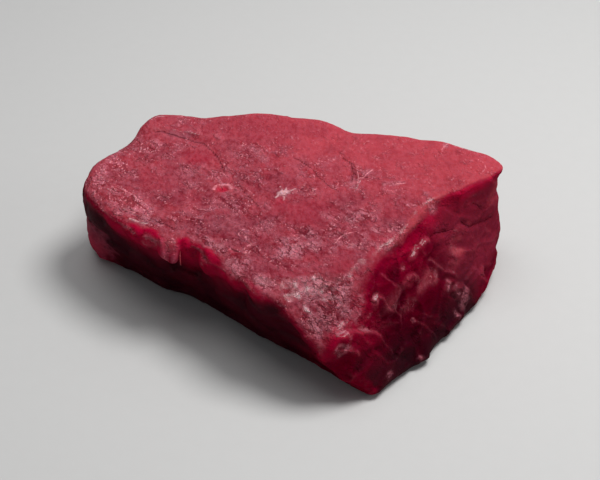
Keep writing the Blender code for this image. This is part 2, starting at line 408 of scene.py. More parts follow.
class GrainGroup:
    """The shared grain of raw muscle: fibres, cracked cells and pebbles, and the masks of painted glints and painted
    shade lines.
    """

    name = "muscle_grain"

    def __init__(self) -> None:
        """Builds the group once."""
        self.group = bpy.data.node_groups.new(self.name, "ShaderNodeTree")
        face = self.group.interface
        for label in ("Cell Size", "Fibre Length"):
            face.new_socket(label, in_out="INPUT", socket_type="NodeSocketFloat")
        for label in ("Fibres", "Cracks", "Flakes", "Pebbles", "Clusters", "Glint Specks", "Grit", "Wet Glints", "Lit", "Shade", "Steps"):
            face.new_socket(label, in_out="OUTPUT", socket_type="NodeSocketFloat")
        self._fill(Graph(self.group))

    def _fill(self, graph: Graph) -> None:
        """Puts the nodes in the group.

        Args:
            graph: the group's own tree.
        """
        given = graph.node("NodeGroupInput")
        out = graph.node("NodeGroupOutput")
        scaled = graph.node("ShaderNodeVectorMath", operation="SCALE")
        graph.feed(scaled.inputs[0], graph.node("ShaderNodeTexCoord").outputs["Object"])
        scaled.inputs["Scale"].default_value = 1.0 / MM
        place = scaled.outputs[0]

        bend = graph.node("ShaderNodeTexNoise")
        graph.feed(bend.inputs["Vector"], place)
        bend.inputs["Scale"].default_value = 0.42
        bend.inputs["Detail"].default_value = 3.0
        pull = graph.node("ShaderNodeVectorMath", operation="MULTIPLY_ADD")
        graph.feed(pull.inputs[0], bend.outputs["Color"])
        pull.inputs[1].default_value = (2.6, 2.6, 2.6)
        graph.feed(pull.inputs[2], place)
        bent = pull.outputs[0]

        size = graph.math("DIVIDE", 1.0, given.outputs["Cell Size"])
        ruffle = graph.node("ShaderNodeTexNoise")
        graph.feed(ruffle.inputs["Vector"], place)
        ruffle.inputs["Scale"].default_value = 1.5
        ruffle.inputs["Detail"].default_value = 2.0
        ruffled = graph.node("ShaderNodeVectorMath", operation="MULTIPLY_ADD")
        graph.feed(ruffled.inputs[0], ruffle.outputs["Color"])
        ruffled.inputs[1].default_value = (1.2, 1.2, 1.2)
        graph.feed(ruffled.inputs[2], bent)
        stretched = graph.turned(ruffled.outputs[0], (0.0, 0.0, -42.0), (0.50, 1.0, 1.0))
        edges = graph.node("ShaderNodeTexVoronoi", feature="DISTANCE_TO_EDGE")
        cells = graph.node("ShaderNodeTexVoronoi", feature="F1")
        small = graph.node("ShaderNodeTexVoronoi", feature="DISTANCE_TO_EDGE")
        for texture, finer in ((edges, 1.0), (cells, 1.0), (small, 2.3)):
            graph.feed(texture.inputs["Vector"], stretched)
            graph.feed(texture.inputs["Scale"], graph.math("MULTIPLY", size, finer))
            texture.inputs["Randomness"].default_value = 1.0
        broken = graph.rise(graph.grain(bent, 1.8, 2.0), 0.40, 0.58)
        crack_and_shade = graph.math("MULTIPLY", graph.rise(edges.outputs["Distance"], 0.12, 0.0), graph.blend(broken, 0.35, 1.0))
        hair = graph.math("MULTIPLY", graph.rise(small.outputs["Distance"], 0.16, 0.0), graph.blend(broken, 0.60, 0.20))
        graph.feed(out.inputs["Cracks"], graph.math("MAXIMUM", crack_and_shade, hair))
        chosen = graph.node("ShaderNodeSeparateColor")
        graph.feed(chosen.inputs[0], cells.outputs["Color"])
        flake = graph.rise(chosen.outputs[0], 0.28, 0.62)
        graph.feed(out.inputs["Flakes"], graph.math("MULTIPLY", flake, graph.rise(edges.outputs["Distance"], 0.02, 0.14)))

        length = graph.math("DIVIDE", 1.0, given.outputs["Fibre Length"])
        strands = []
        for turn, offset in ((-44.0, 0.0), (-6.0, 7.3)):
            along = graph.turned(bent, (0.0, 0.0, turn), (0.20, 1.0, 1.0))
            texture = graph.node("ShaderNodeTexNoise", noise_dimensions="4D")
            graph.feed(texture.inputs["Vector"], along)
            texture.inputs["W"].default_value = offset
            graph.feed(texture.inputs["Scale"], graph.math("MULTIPLY", length, 5.0))
            texture.inputs["Detail"].default_value = 1.0
            strands.append(graph.rise(texture.outputs["Fac"], 0.56, 0.68))
        graph.feed(out.inputs["Fibres"], graph.math("MAXIMUM", strands[0], strands[1]))

        lit, shade, steps = [], [], []
        for turn, wave, width in ((-34.0, 2.4, 0.016), (-4.0, 4.2, 0.010)):
            along = graph.turned(bent, (0.0, 0.0, turn), (0.45, 1.0, 1.0))
            slope = graph.math("SUBTRACT", graph.grain(along, wave, 2.5), 0.5)
            above = graph.math("ABSOLUTE", graph.math("SUBTRACT", slope, width))
            below = graph.math("ABSOLUTE", graph.math("ADD", slope, width))
            lit.append(graph.rise(above, width, 0.2 * width))
            shade.append(graph.rise(below, 1.2 * width, 0.2 * width))
            steps.append(graph.rise(slope, -1.5 * width, 1.5 * width))
        graph.feed(out.inputs["Lit"], graph.math("MAXIMUM", lit[0], lit[1]))
        graph.feed(out.inputs["Shade"], graph.math("MAXIMUM", shade[0], shade[1]))
        graph.feed(out.inputs["Steps"], graph.math("ADD", steps[0], steps[1]))

        graph.feed(out.inputs["Pebbles"], graph.grain(bent, 1.4, 5.0))
        graph.feed(out.inputs["Clusters"], graph.rise(graph.grain(bent, 4.6, 2.5), 0.46, 0.62))
        wet_glint = graph.grain(graph.turned(ruffled.outputs[0], (0.0, 0.0, -42.0), (0.40, 1.0, 1.0)), 2.5, 3.4)
        graph.feed(out.inputs["Wet Glints"], graph.rise(wet_glint, 0.46, 0.555))
        upright = graph.turned(place, (0.0, 0.0, 0.0), (1.0, 0.66, 0.80))
        graph.feed(out.inputs["Glint Specks"], graph.rise(graph.grain(upright, 0.66, 1.5), 0.57, 0.70))
        graph.feed(out.inputs["Grit"], graph.rise(graph.grain(upright, 1.05, 4.0), 0.32, 0.68))

    def place(self, graph: Graph, cell_size: float, fibre_length: float) -> bpy.types.Node:
        """Puts the group in a material.

        Args:
            graph: the material's tree.
            cell_size: the width of a cracked cell, in millimetres.
            fibre_length: the length of a fibre, in millimetres.

        Returns:
            The group's node.
        """
        made = graph.node("ShaderNodeGroup")
        made.node_tree = self.group
        made.inputs["Cell Size"].default_value = cell_size
        made.inputs["Fibre Length"].default_value = fibre_length
        return made


def new_material(name: str) -> tuple[bpy.types.Material, Graph, bpy.types.Node]:
    """An empty material with one Principled shader.

    Args:
        name: the material's name.

    Returns:
        The material, its graph and its shader.
    """
    material = bpy.data.materials.new(name)
    material.use_nodes = True
    return material, Graph(material.node_tree), material.node_tree.nodes["Principled BSDF"]


def muscle_material(finish: CutMuscle, grain: GrainGroup) -> bpy.types.Material:
    """Raw lean muscle, pale and cracked on top, deep crimson and glassy on the sides, with painted glints, highlights,
    glow and shade.

    Args:
        finish: the colours and the gloss.
        grain: the shared grain group.

    Returns:
        The material.
    """
    material, graph, shader = new_material("raw_lean_beef")
    parts = grain.place(graph, 1.9, 3.0).outputs
    top = graph.attribute("cut_top")
    smooth = graph.attribute("smooth_cut")
    wet = graph.attribute("wet_glint_patch")
    rim = graph.attribute("painted_rim_glow")
    tone = graph.attribute("bundle_tone_and_shade")
    crease = graph.attribute("crease_gap")
    vein = graph.attribute("vein_gap")
    mottle = graph.attribute("mottle")
    dark = graph.attribute("shaded_side")
    ledge = graph.attribute("fold_ledge_highlight")
    dusty = graph.attribute("dusty_side")

    calm = graph.attribute("calm_cut")
    mauve = graph.attribute("mauve_cut")
    sheen = graph.attribute("sheen_cut")
    pink = graph.attribute("pink_side")
    eye = graph.attribute("red_eye")
    streak = graph.attribute("streak_gap")
    ridge_highlight = graph.attribute("ridge_highlight_band")
    lively = graph.math("SUBTRACT", 1.0, calm)
    rough_cut = graph.math("MULTIPLY", graph.math("SUBTRACT", 1.0, smooth), lively)
    cracked = graph.math("MULTIPLY", rough_cut, graph.blend(parts["Clusters"], 0.25, 0.72))
    cracked = graph.math("MAXIMUM", cracked, graph.math("MAXIMUM", wet, sheen))
    cracks = graph.math("MULTIPLY", parts["Cracks"], cracked)
    shine = graph.math("MULTIPLY", parts["Wet Glints"], graph.math("MAXIMUM", wet, graph.math("MULTIPLY", cracked, 0.60)))
    shine = graph.math("MULTIPLY", shine, graph.blend(graph.rise(parts["Pebbles"], 0.38, 0.60), 0.55, 1.0))

    colour = graph.mix(mottle, finish.top_deep, finish.top)
    colour = graph.mix(graph.math("MULTIPLY", smooth, graph.blend(mottle, 0.50, 0.85)), colour, finish.top_pale)
    colour = graph.mix(graph.math("MULTIPLY", calm, 0.75), colour, finish.calm)
    colour = graph.mix(graph.math("MULTIPLY", mauve, 0.80), colour, finish.mauve)
    colour = graph.mix(graph.math("MULTIPLY", wet, 0.42), colour, finish.top_deep)
    # painted sheen on the silky patches
    colour = graph.mix(graph.math("MULTIPLY", sheen, 0.55), colour, finish.top_pale)
    colour = graph.mix(graph.math("MULTIPLY", graph.attribute("red_cut"), 0.85), colour, finish.top_red)
    # painted glint flecks in the grain
    grit_glint = graph.math("MULTIPLY", parts["Grit"], graph.blend(lively, 0.12, graph.blend(smooth, 0.18, 0.09)))
    colour = graph.mix(grit_glint, colour, finish.glint)
    # painted shade in the low spots of the grain
    pit_shade = graph.math("MULTIPLY", graph.rise(parts["Grit"], 0.40, 0.0), graph.blend(lively, 0.12, graph.blend(smooth, 0.22, 0.06)))
    colour = graph.mix(pit_shade, colour, finish.crack_and_shade)
    # painted sheen on the plates between the cracks
    plate_sheen = graph.math("MULTIPLY", parts["Flakes"], graph.blend(graph.math("MAXIMUM", wet, sheen), 0.32, 0.68))
    plate_sheen = graph.math("MULTIPLY", plate_sheen, cracked)
    colour = graph.mix(plate_sheen, colour, finish.glint)
    # painted glints on the wet and cracked patches
    colour = graph.mix(graph.math("MULTIPLY", shine, 0.85), colour, graph.mix(wet, finish.glint, finish.wet_glint))
    colour = graph.mix(graph.math("MULTIPLY", cracks, graph.blend(wet, 0.58, 0.84)), colour, finish.crack_and_shade)
    # painted highlight along the ridge
    colour = graph.mix(graph.math("MULTIPLY", ridge_highlight, 0.70), colour, finish.top_pale)
    # painted shade and painted highlight along the small wrinkles
    shown = graph.math("MULTIPLY", parts["Clusters"], graph.blend(smooth, 0.60, 0.34))
    shown = graph.math("MULTIPLY", shown, graph.math("MULTIPLY", lively, graph.rise(parts["Pebbles"], 0.40, 0.60)))
    colour = graph.mix(graph.math("MULTIPLY", parts["Shade"], shown), colour, finish.crack_and_shade)
    colour = graph.mix(graph.math("MULTIPLY", parts["Lit"], shown), colour, finish.glint)
    crowd = graph.math("MULTIPLY", graph.blend(parts["Clusters"], 0.07, 0.66), graph.blend(smooth, 1.0, 0.40))
    crowd = graph.math("MAXIMUM", graph.math("MULTIPLY", crowd, lively), graph.math("MULTIPLY", wet, 0.34))
    crowd = graph.math("MAXIMUM", crowd, sheen)
    # painted glint specks, crowded in clusters and on the sheen patches
    colour = graph.mix(graph.math("MULTIPLY", parts["Glint Specks"], crowd), colour, finish.glint_speck)
    # painted highlight streaks, and the painted highlight on the ring's far rim
    glint_streak = graph.math("MULTIPLY", graph.rise(streak, 0.34, 0.06), graph.rise(parts["Pebbles"], 0.32, 0.54))
    colour = graph.mix(graph.math("MULTIPLY", glint_streak, 0.82), colour, finish.glint_speck)
    colour = graph.mix(eye, colour, finish.eye)

    # random bundle tone, with painted shade where folds sink back and painted glow at the nose and the upper part
    side = graph.mix(tone, finish.side_deep, finish.side)
    side = graph.mix(dusty, side, finish.side_dusty)
    fine = graph.rise(parts["Pebbles"], 0.38, 0.62)
    # painted highlight along the upper edges of the folds
    side = graph.mix(graph.math("MULTIPLY", ledge, graph.blend(fine, 0.08, 0.42)), side, finish.pale_seam_and_highlight)
    # painted shade on the front left side and low on the right side
    side = graph.mix(dark, side, finish.painted_side_shade)
    # painted red glow under the rim
    side = graph.mix(graph.math("MULTIPLY", rim, 0.90), side, finish.rim)
    side = graph.mix(graph.math("MULTIPLY", pink, graph.blend(fine, 0.60, 0.92)), side, finish.side_pink)
    # painted glint flecks on the pink flap
    glint_flecks = graph.math("MULTIPLY", graph.rise(pink, 0.60, 0.95), graph.math("MULTIPLY", parts["Glint Specks"], 0.7))
    side = graph.mix(glint_flecks, side, finish.glint_speck)
    # painted glints on the wet patches of the sides
    shiny = graph.math("MULTIPLY", graph.blend(parts["Wet Glints"], 0.15, 0.80), graph.blend(fine, 0.45, 1.0))
    side = graph.mix(graph.math("MULTIPLY", wet, shiny), side, finish.glint)

    colour = graph.mix(top, side, colour)
    # painted shade in the creases
    crease_line = graph.rise(crease, 0.40, 0.05)
    colour = graph.mix(graph.math("MULTIPLY", crease_line, 0.32), colour, finish.crack_and_shade)
    vein_line = graph.math("MULTIPLY", graph.rise(vein, 0.34, 0.04), graph.rise(parts["Pebbles"], 0.30, 0.54))
    pale = graph.mix(top, finish.pale_seam_and_highlight, finish.fat)
    colour = graph.mix(graph.math("MULTIPLY", vein_line, 0.85), colour, pale)
    graph.feed(shader.inputs["Base Color"], colour)

    gloss = graph.math("MULTIPLY", wet, graph.blend(top, 0.16, 0.52))
    gloss = graph.math("MAXIMUM", gloss, graph.math("MULTIPLY", graph.math("MULTIPLY", cracked, top), 0.40))
    gloss = graph.math("MAXIMUM", gloss, graph.math("MULTIPLY", ledge, 0.40))
    gloss = graph.math("MAXIMUM", gloss, graph.math("MULTIPLY", top, 0.14))
    gloss = graph.math("MAXIMUM", gloss, graph.math("MULTIPLY", dark, 0.10))
    gloss = graph.math("MULTIPLY", gloss, graph.math("SUBTRACT", 1.0, graph.math("MULTIPLY", rim, 0.8)))
    gloss = graph.math("MULTIPLY", gloss, graph.blend(graph.math("MAXIMUM", calm, ridge_highlight), 1.0, 0.4))
    roughness = graph.blend(gloss, finish.roughness, finish.wet_roughness)
    roughness = graph.blend(graph.math("MULTIPLY", cracks, 0.8), roughness, 0.55)
    graph.feed(shader.inputs["Roughness"], roughness)
    graph.feed(shader.inputs["Coat Weight"], graph.blend(gloss, 0.0, 0.85))
    shader.inputs["Coat Roughness"].default_value = finish.coat_roughness
    shader.inputs["Specular IOR Level"].default_value = finish.specular
    shader.inputs["Subsurface Weight"].default_value = finish.subsurface
    shader.inputs["Subsurface Radius"].default_value = (1.0, 0.18, 0.10)
    shader.inputs["Subsurface Scale"].default_value = finish.subsurface_scale

    height = graph.math("MULTIPLY", parts["Pebbles"], graph.blend(top, 0.35, graph.blend(smooth, 1.0, 0.55)))
    height = graph.math("MULTIPLY", height, graph.blend(wet, 1.0, 0.60))
    height = graph.math("ADD", height, graph.math("MULTIPLY", parts["Fibres"], graph.blend(top, 0.10, 0.08)))
    height = graph.math("ADD", height, graph.math("MULTIPLY", parts["Grit"], graph.blend(top, 0.06, 0.22)))
    height = graph.math("SUBTRACT", height, graph.math("MULTIPLY", cracks, 0.6))
    height = graph.math("ADD", height, graph.math("MULTIPLY", parts["Steps"], graph.math("MULTIPLY", shown, 0.8)))
    height = graph.math("SUBTRACT", height, graph.math("MULTIPLY", crease_line, 0.9))
    height = graph.math("ADD", height, graph.math("MULTIPLY", vein_line, 0.5))
    height = graph.math("ADD", height, graph.math("MULTIPLY", shine, 0.5))
    height = graph.math("ADD", height, graph.math("MULTIPLY", graph.math("MULTIPLY", wet, fine), graph.blend(top, 0.2, 0.35)))
    bump = graph.node("ShaderNodeBump")
    bump.inputs["Strength"].default_value = 0.9
    bump.inputs["Distance"].default_value = 0.55 * MM
    graph.feed(bump.inputs["Height"], height)
    graph.feed(shader.inputs["Normal"], bump.outputs["Normal"])
    return material


def membrane_material(finish: WetMembrane, grain: GrainGroup) -> bpy.types.Material:
    """Thin wet tissue, pale where it is thin.

    Args:
        finish: the colours and the gloss.
        grain: the shared grain group.

    Returns:
        The material.
    """
    material, graph, shader = new_material("wet_membrane")
    parts = grain.place(graph, 0.9, 2.2).outputs
    pale = graph.math("ADD", graph.math("MULTIPLY", parts["Pebbles"], 0.9), graph.math("MULTIPLY", parts["Fibres"], 0.4))
    graph.feed(shader.inputs["Base Color"], graph.mix(graph.rise(pale, 0.30, 0.80), finish.thick, finish.thin))
    graph.feed(shader.inputs["Roughness"], graph.blend(parts["Flakes"], 0.42, finish.roughness))
    shader.inputs["Coat Weight"].default_value = 0.6
    shader.inputs["Coat Roughness"].default_value = 0.1
    shader.inputs["Subsurface Weight"].default_value = finish.subsurface
    shader.inputs["Subsurface Radius"].default_value = (1.0, 0.2, 0.12)
    shader.inputs["Subsurface Scale"].default_value = finish.subsurface_scale
    bump = graph.node("ShaderNodeBump")
    bump.inputs["Strength"].default_value = 0.7
    bump.inputs["Distance"].default_value = 0.25 * MM
    graph.feed(bump.inputs["Height"], parts["Pebbles"])
    graph.feed(shader.inputs["Normal"], bump.outputs["Normal"])
    return material


def floor_material(finish: PaleFloor) -> bpy.types.Material:
    """Plain pale studio paper.

    Args:
        finish: the colour and the roughness.

    Returns:
        The material.
    """
    material, graph, shader = new_material("studio_floor")
    fine = graph.grain(graph.node("ShaderNodeTexCoord").outputs["Object"], 0.004, 3.0)
    lighter = tuple(min(1.0, c * 1.03) for c in finish.colour)
    graph.feed(shader.inputs["Base Color"], graph.mix(fine, finish.colour, lighter))
    shader.inputs["Roughness"].default_value = finish.roughness
    return material


@dataclass
class Bundles:
    """The muscle bundles that the cut sides show, as in the solid."""

    size: float = 10.5
    step: float = 0.5
    tilt: float = 0.085
    jitter: float = 0.42
    room: float = 0.9
    wander: float = 1.2
    wander_length: float = 7.5
    seed: int = 11
    fold_edge: float = 0.7
    shift: Point = (0.41, 0.01, 0.0)
    face_from: tuple[float, float] = (19.6, -38.2)
    face_to: tuple[float, float] = (60.6, 9.8)
    face: tuple[Point, ...] = (
        (-7.0, 16.5, 0.5),
        (-2.5, 7.0, 0.1),
        (2.0, 22.0, 0.2),
        (6.5, 12.5, -0.4),
        (11.5, 21.5, 0.6),
        (10.0, 3.5, 0.3),
        (17.0, 13.0, -0.1),
        (21.5, 5.0, 0.4),
        (23.5, 25.0, 0.1),
        (26.0, 15.0, 0.3),
        (32.5, 29.5, 0.6),
        (33.0, 8.5, -0.3),
        (35.5, 20.5, -0.1),
        (42.0, 31.0, 0.2),
        (43.0, 14.0, 0.5),
        (44.5, 4.5, 0.0),
        (46.5, 23.0, 0.4),
        (52.0, 30.5, -0.2),
        (54.0, 10.5, 0.6),
        (57.0, 20.0, -0.1),
    )
    middles: list[Vector] = field(default_factory=list)
    tones: list[float] = field(default_factory=list)

    def __post_init__(self) -> None:
        """Places the bundles with the solid's own dice."""
        dice = random.Random(self.seed)
        start, end = Vector(self.face_from), Vector(self.face_to)
        way = (end - start).normalized()
        for run, height, _ in self.face:
            place = start + way * run
            self.middles.append(Vector((place.x, place.y, height)))
            self._throw(dice, self.tilt)
        placed = self.tree()
        reach = math.ceil(5.0 * 10.5 / self.size)
        for column in range(-reach - 2, reach + 3):
            for line in range(-reach, reach + 1):
                for level in range(reach):
                    middle = Vector((column, line, level)) * self.size
                    middle += self._throw(dice, self.jitter * self.size)
                    if not self.face or placed.find(middle)[2] > self.room * self.size:
                        dice.uniform(-self.step, self.step)
                        self.middles.append(middle)
                        self._throw(dice, self.tilt)
        shades = random.Random(self.seed + 1)
        self.tones = [shades.random() for _ in self.middles]

    @staticmethod
    def _throw(dice: random.Random, reach: float) -> Vector:
        """A vector whose parts are each within the reach of zero."""
        return Vector([dice.uniform(-reach, reach) for _ in range(3)])

    def tree(self) -> kdtree.KDTree:
        """The middles, ready to be asked which is nearest."""
        found = kdtree.KDTree(len(self.middles))
        for index, middle in enumerate(self.middles):
            found.insert(middle, index)
        found.balance()
        return found

    def read(self, places: np.ndarray) -> tuple[np.ndarray, np.ndarray, np.ndarray, np.ndarray]:
        """The seam gap, the tone, the fold and the ledge at each place.

        Args:
            places: one point a row, in millimetres in the frame of the solid.

        Returns:
            How much further the second bundle is than the first, the tone, how far
            the bundle stands out, most at its upper edge as overlapping folds do, and
            how near that upper edge is.
        """
        found = self.tree()
        gaps, tones, folds, ledges = [], [], [], []
        for row in places - np.array(self.shift):
            place = Vector(row)
            place = place + noise.noise_vector(place / self.wander_length) * self.wander
            (_, first, near), (_, second, far) = found.find_n(place, 2)
            gap = far - near
            share = 0.5 + 0.5 * min(1.0, gap / self.fold_edge)
            gaps.append(gap)
            tones.append(self.tones[first] * share + self.tones[second] * (1.0 - share))
            own = self._fold(place, first)
            folds.append(own * share + self._fold(place, second) * (1.0 - share))
            over = (self.middles[second].z - self.middles[first].z) / self.size
            ledges.append(max(0.0, min(1.0, 1.6 * over)) * math.exp(-((gap / self.fold_edge) ** 2)))
        return np.array(gaps), np.array(tones), np.array(folds), np.array(ledges)

    def _fold(self, place: Vector, index: int) -> float:
        """How far one bundle would stand out at a place, from -1 to 1."""
        rise = (place.z - self.middles[index].z) / self.size
        return max(-0.6, min(0.6, rise)) + 0.8 * (self.tones[index] - 0.5)


def top_marks() -> tuple[Mark, ...]:
    """The creases, veins and painted highlight streaks that the photograph shows on the top cut."""
    crease, vein, streak, top = Trace.CREASE, Trace.VEIN, Trace.STREAK, Plane.TOP
    return (
        Mark(crease, top, ((-42.0, 34.2, 0), (-39.3, 34.7, 0), (-32.1, 31.3, 0), (-26.9, 28.3, 0), (-22.7, 22.2, 0), (-20.1, 14.9, 0)), 0.55, -0.28),
        Mark(vein, top, ((-36.3, 35.2, 0), (-31.5, 33.9, 0), (-28.3, 32.1, 0)), 0.4, 0.15),
        Mark(vein, top, ((-44.1, 39.0, 0), (-41.5, 40.6, 0), (-38.2, 41.2, 0)), 0.4, 0.15),
        Mark(vein, top, ((-3.8, 3.2, 0), (-1.6, 3.8, 0)), 1.9, 0.2),
        Mark(vein, top, ((-2.8, 3.4, 0), (-5.2, 1.6, 0)), 0.60, 0.12),
        Mark(vein, top, ((-2.8, 3.4, 0), (-3.7, 6.8, 0)), 0.60, 0.12),
        Mark(vein, top, ((-2.0, 3.6, 0), (-1.8, 6.2, 0)), 0.50, 0.12),
        Mark(vein, top, ((-2.8, 3.4, 0), (0.7, 5.4, 0)), 0.65, 0.12),
        Mark(vein, top, ((-2.4, 3.4, 0), (-2.6, 1.0, 0)), 0.80, 0.12),
        Mark(vein, top, ((-3.6, 16.5, 0), (-2.2, 15.2, 0)), 0.35, 0.1),
        Mark(vein, top, ((14.9, 8.3, 0), (16.5, 4.9, 0), (18.2, 5.0, 0), (19.5, 8.9, 0)), 0.35, 0.15),
        Mark(streak, top, ((19.5, 8.9, 0), (21.9, 11.7, 0), (24.5, 13.8, 0)), 0.5, 0.1),
        Mark(streak, top, ((17.7, 17.2, 0), (19.0, 13.1, 0), (18.3, 5.9, 0)), 0.35, 0.1),
        Mark(crease, top, ((0.2, 19.4, 0), (5.5, 14.8, 0), (7.5, 10.3, 0), (13.1, 3.1, 0)), 0.4, -0.12),
        Mark(crease, top, ((14.6, 19.2, 0), (16.5, 16.4, 0), (17.3, 12.6, 0), (16.6, 9.1, 0)), 0.6, -0.3),
        Mark(crease, top, ((17.0, 12.8, 0), (20.0, 10.0, 0), (22.2, 9.2, 0)), 0.4, -0.12),
        Mark(streak, top, ((11.6, -17.0, 0), (14.4, -13.9, 0), (17.2, -12.9, 0), (20.6, -15.6, 0)), 0.45, 0.15),
        Mark(crease, top, ((-17.5, -16.8, 0), (-16.0, -18.6, 0), (-14.7, -19.2, 0)), 0.45, -0.2),
        Mark(streak, top, ((-18.2, -19.4, 0), (-17.2, -17.9, 0), (-15.5, -17.6, 0), (-14.4, -19.2, 0)), 0.35, 0.15),
        Mark(streak, top, ((-47.9, -0.2, 0), (-45.4, 0.2, 0), (-43.0, -1.5, 0), (-40.7, -4.9, 0)), 0.4, 0.2),
        Mark(vein, top, ((-45.9, -4.4, 0), (-43.1, -6.1, 0), (-40.8, -6.7, 0)), 0.9, 0.35),
        Mark(streak, top, ((-33.8, 11.0, 0), (-30.8, 7.7, 0), (-27.6, 2.9, 0)), 0.3, 0.1),
        Mark(streak, top, ((-31.0, 2.3, 0), (-29.1, -0.6, 0), (-28.1, -2.8, 0)), 0.35, 0.15),
        Mark(streak, top, ((-28.6, 0.7, 0), (-26.3, -1.1, 0), (-23.4, -2.5, 0)), 0.4, 0.15),
        Mark(streak, top, ((-20.1, 1.1, 0), (-18.4, -0.3, 0), (-16.3, -2.9, 0)), 0.4, 0.15),
        Mark(streak, top, ((-15.0, 8.8, 0), (-13.2, 6.1, 0), (-11.1, 3.5, 0)), 0.35, 0.15),
        Mark(crease, top, ((-15.2, 6.3, 0), (-12.2, 3.1, 0), (-9.9, -0.9, 0)), 0.4, -0.25),
        Mark(streak, top, ((-51.0, 9.4, 0), (-47.2, 6.6, 0), (-43.2, 2.4, 0)), 0.4, 0.15),
        Mark(streak, top, ((-54.4, 11.6, 0), (-50.6, 10.2, 0), (-46.2, 6.0, 0), (-41.6, 1.6, 0)), 0.3, 0.1),
        Mark(streak, top, ((53.2, 13.8, 0), (54.8, 11.9, 0), (55.4, 9.3, 0)), 0.4, 0.1),
        Mark(streak, top, ((43.4, 19.4, 0), (44.2, 21.3, 0), (45.4, 22.4, 0)), 0.75, 0.15),
        Mark(streak, top, ((47.0, 20.9, 0), (49.2, 19.7, 0), (51.6, 18.2, 0)), 0.6, 0.1),
        Mark(streak, top, ((27.4, 5.2, 0), (29.4, 5.9, 0), (31.8, 5.9, 0)), 0.45, 0.1),
        Mark(crease, top, ((-48.5, -0.2, 0), (-44.4, -2.2, 0), (-41.2, -5.6, 0)), 0.6, -0.35),
        Mark(crease, top, ((-40.2, -4.0, 0), (-37.0, -6.4, 0), (-33.8, -8.4, 0)), 0.55, -0.3),
        Mark(vein, top, ((-53.6, 8.8, 0), (-50.2, 7.4, 0), (-47.0, 5.2, 0)), 0.3, 0.1),
    )


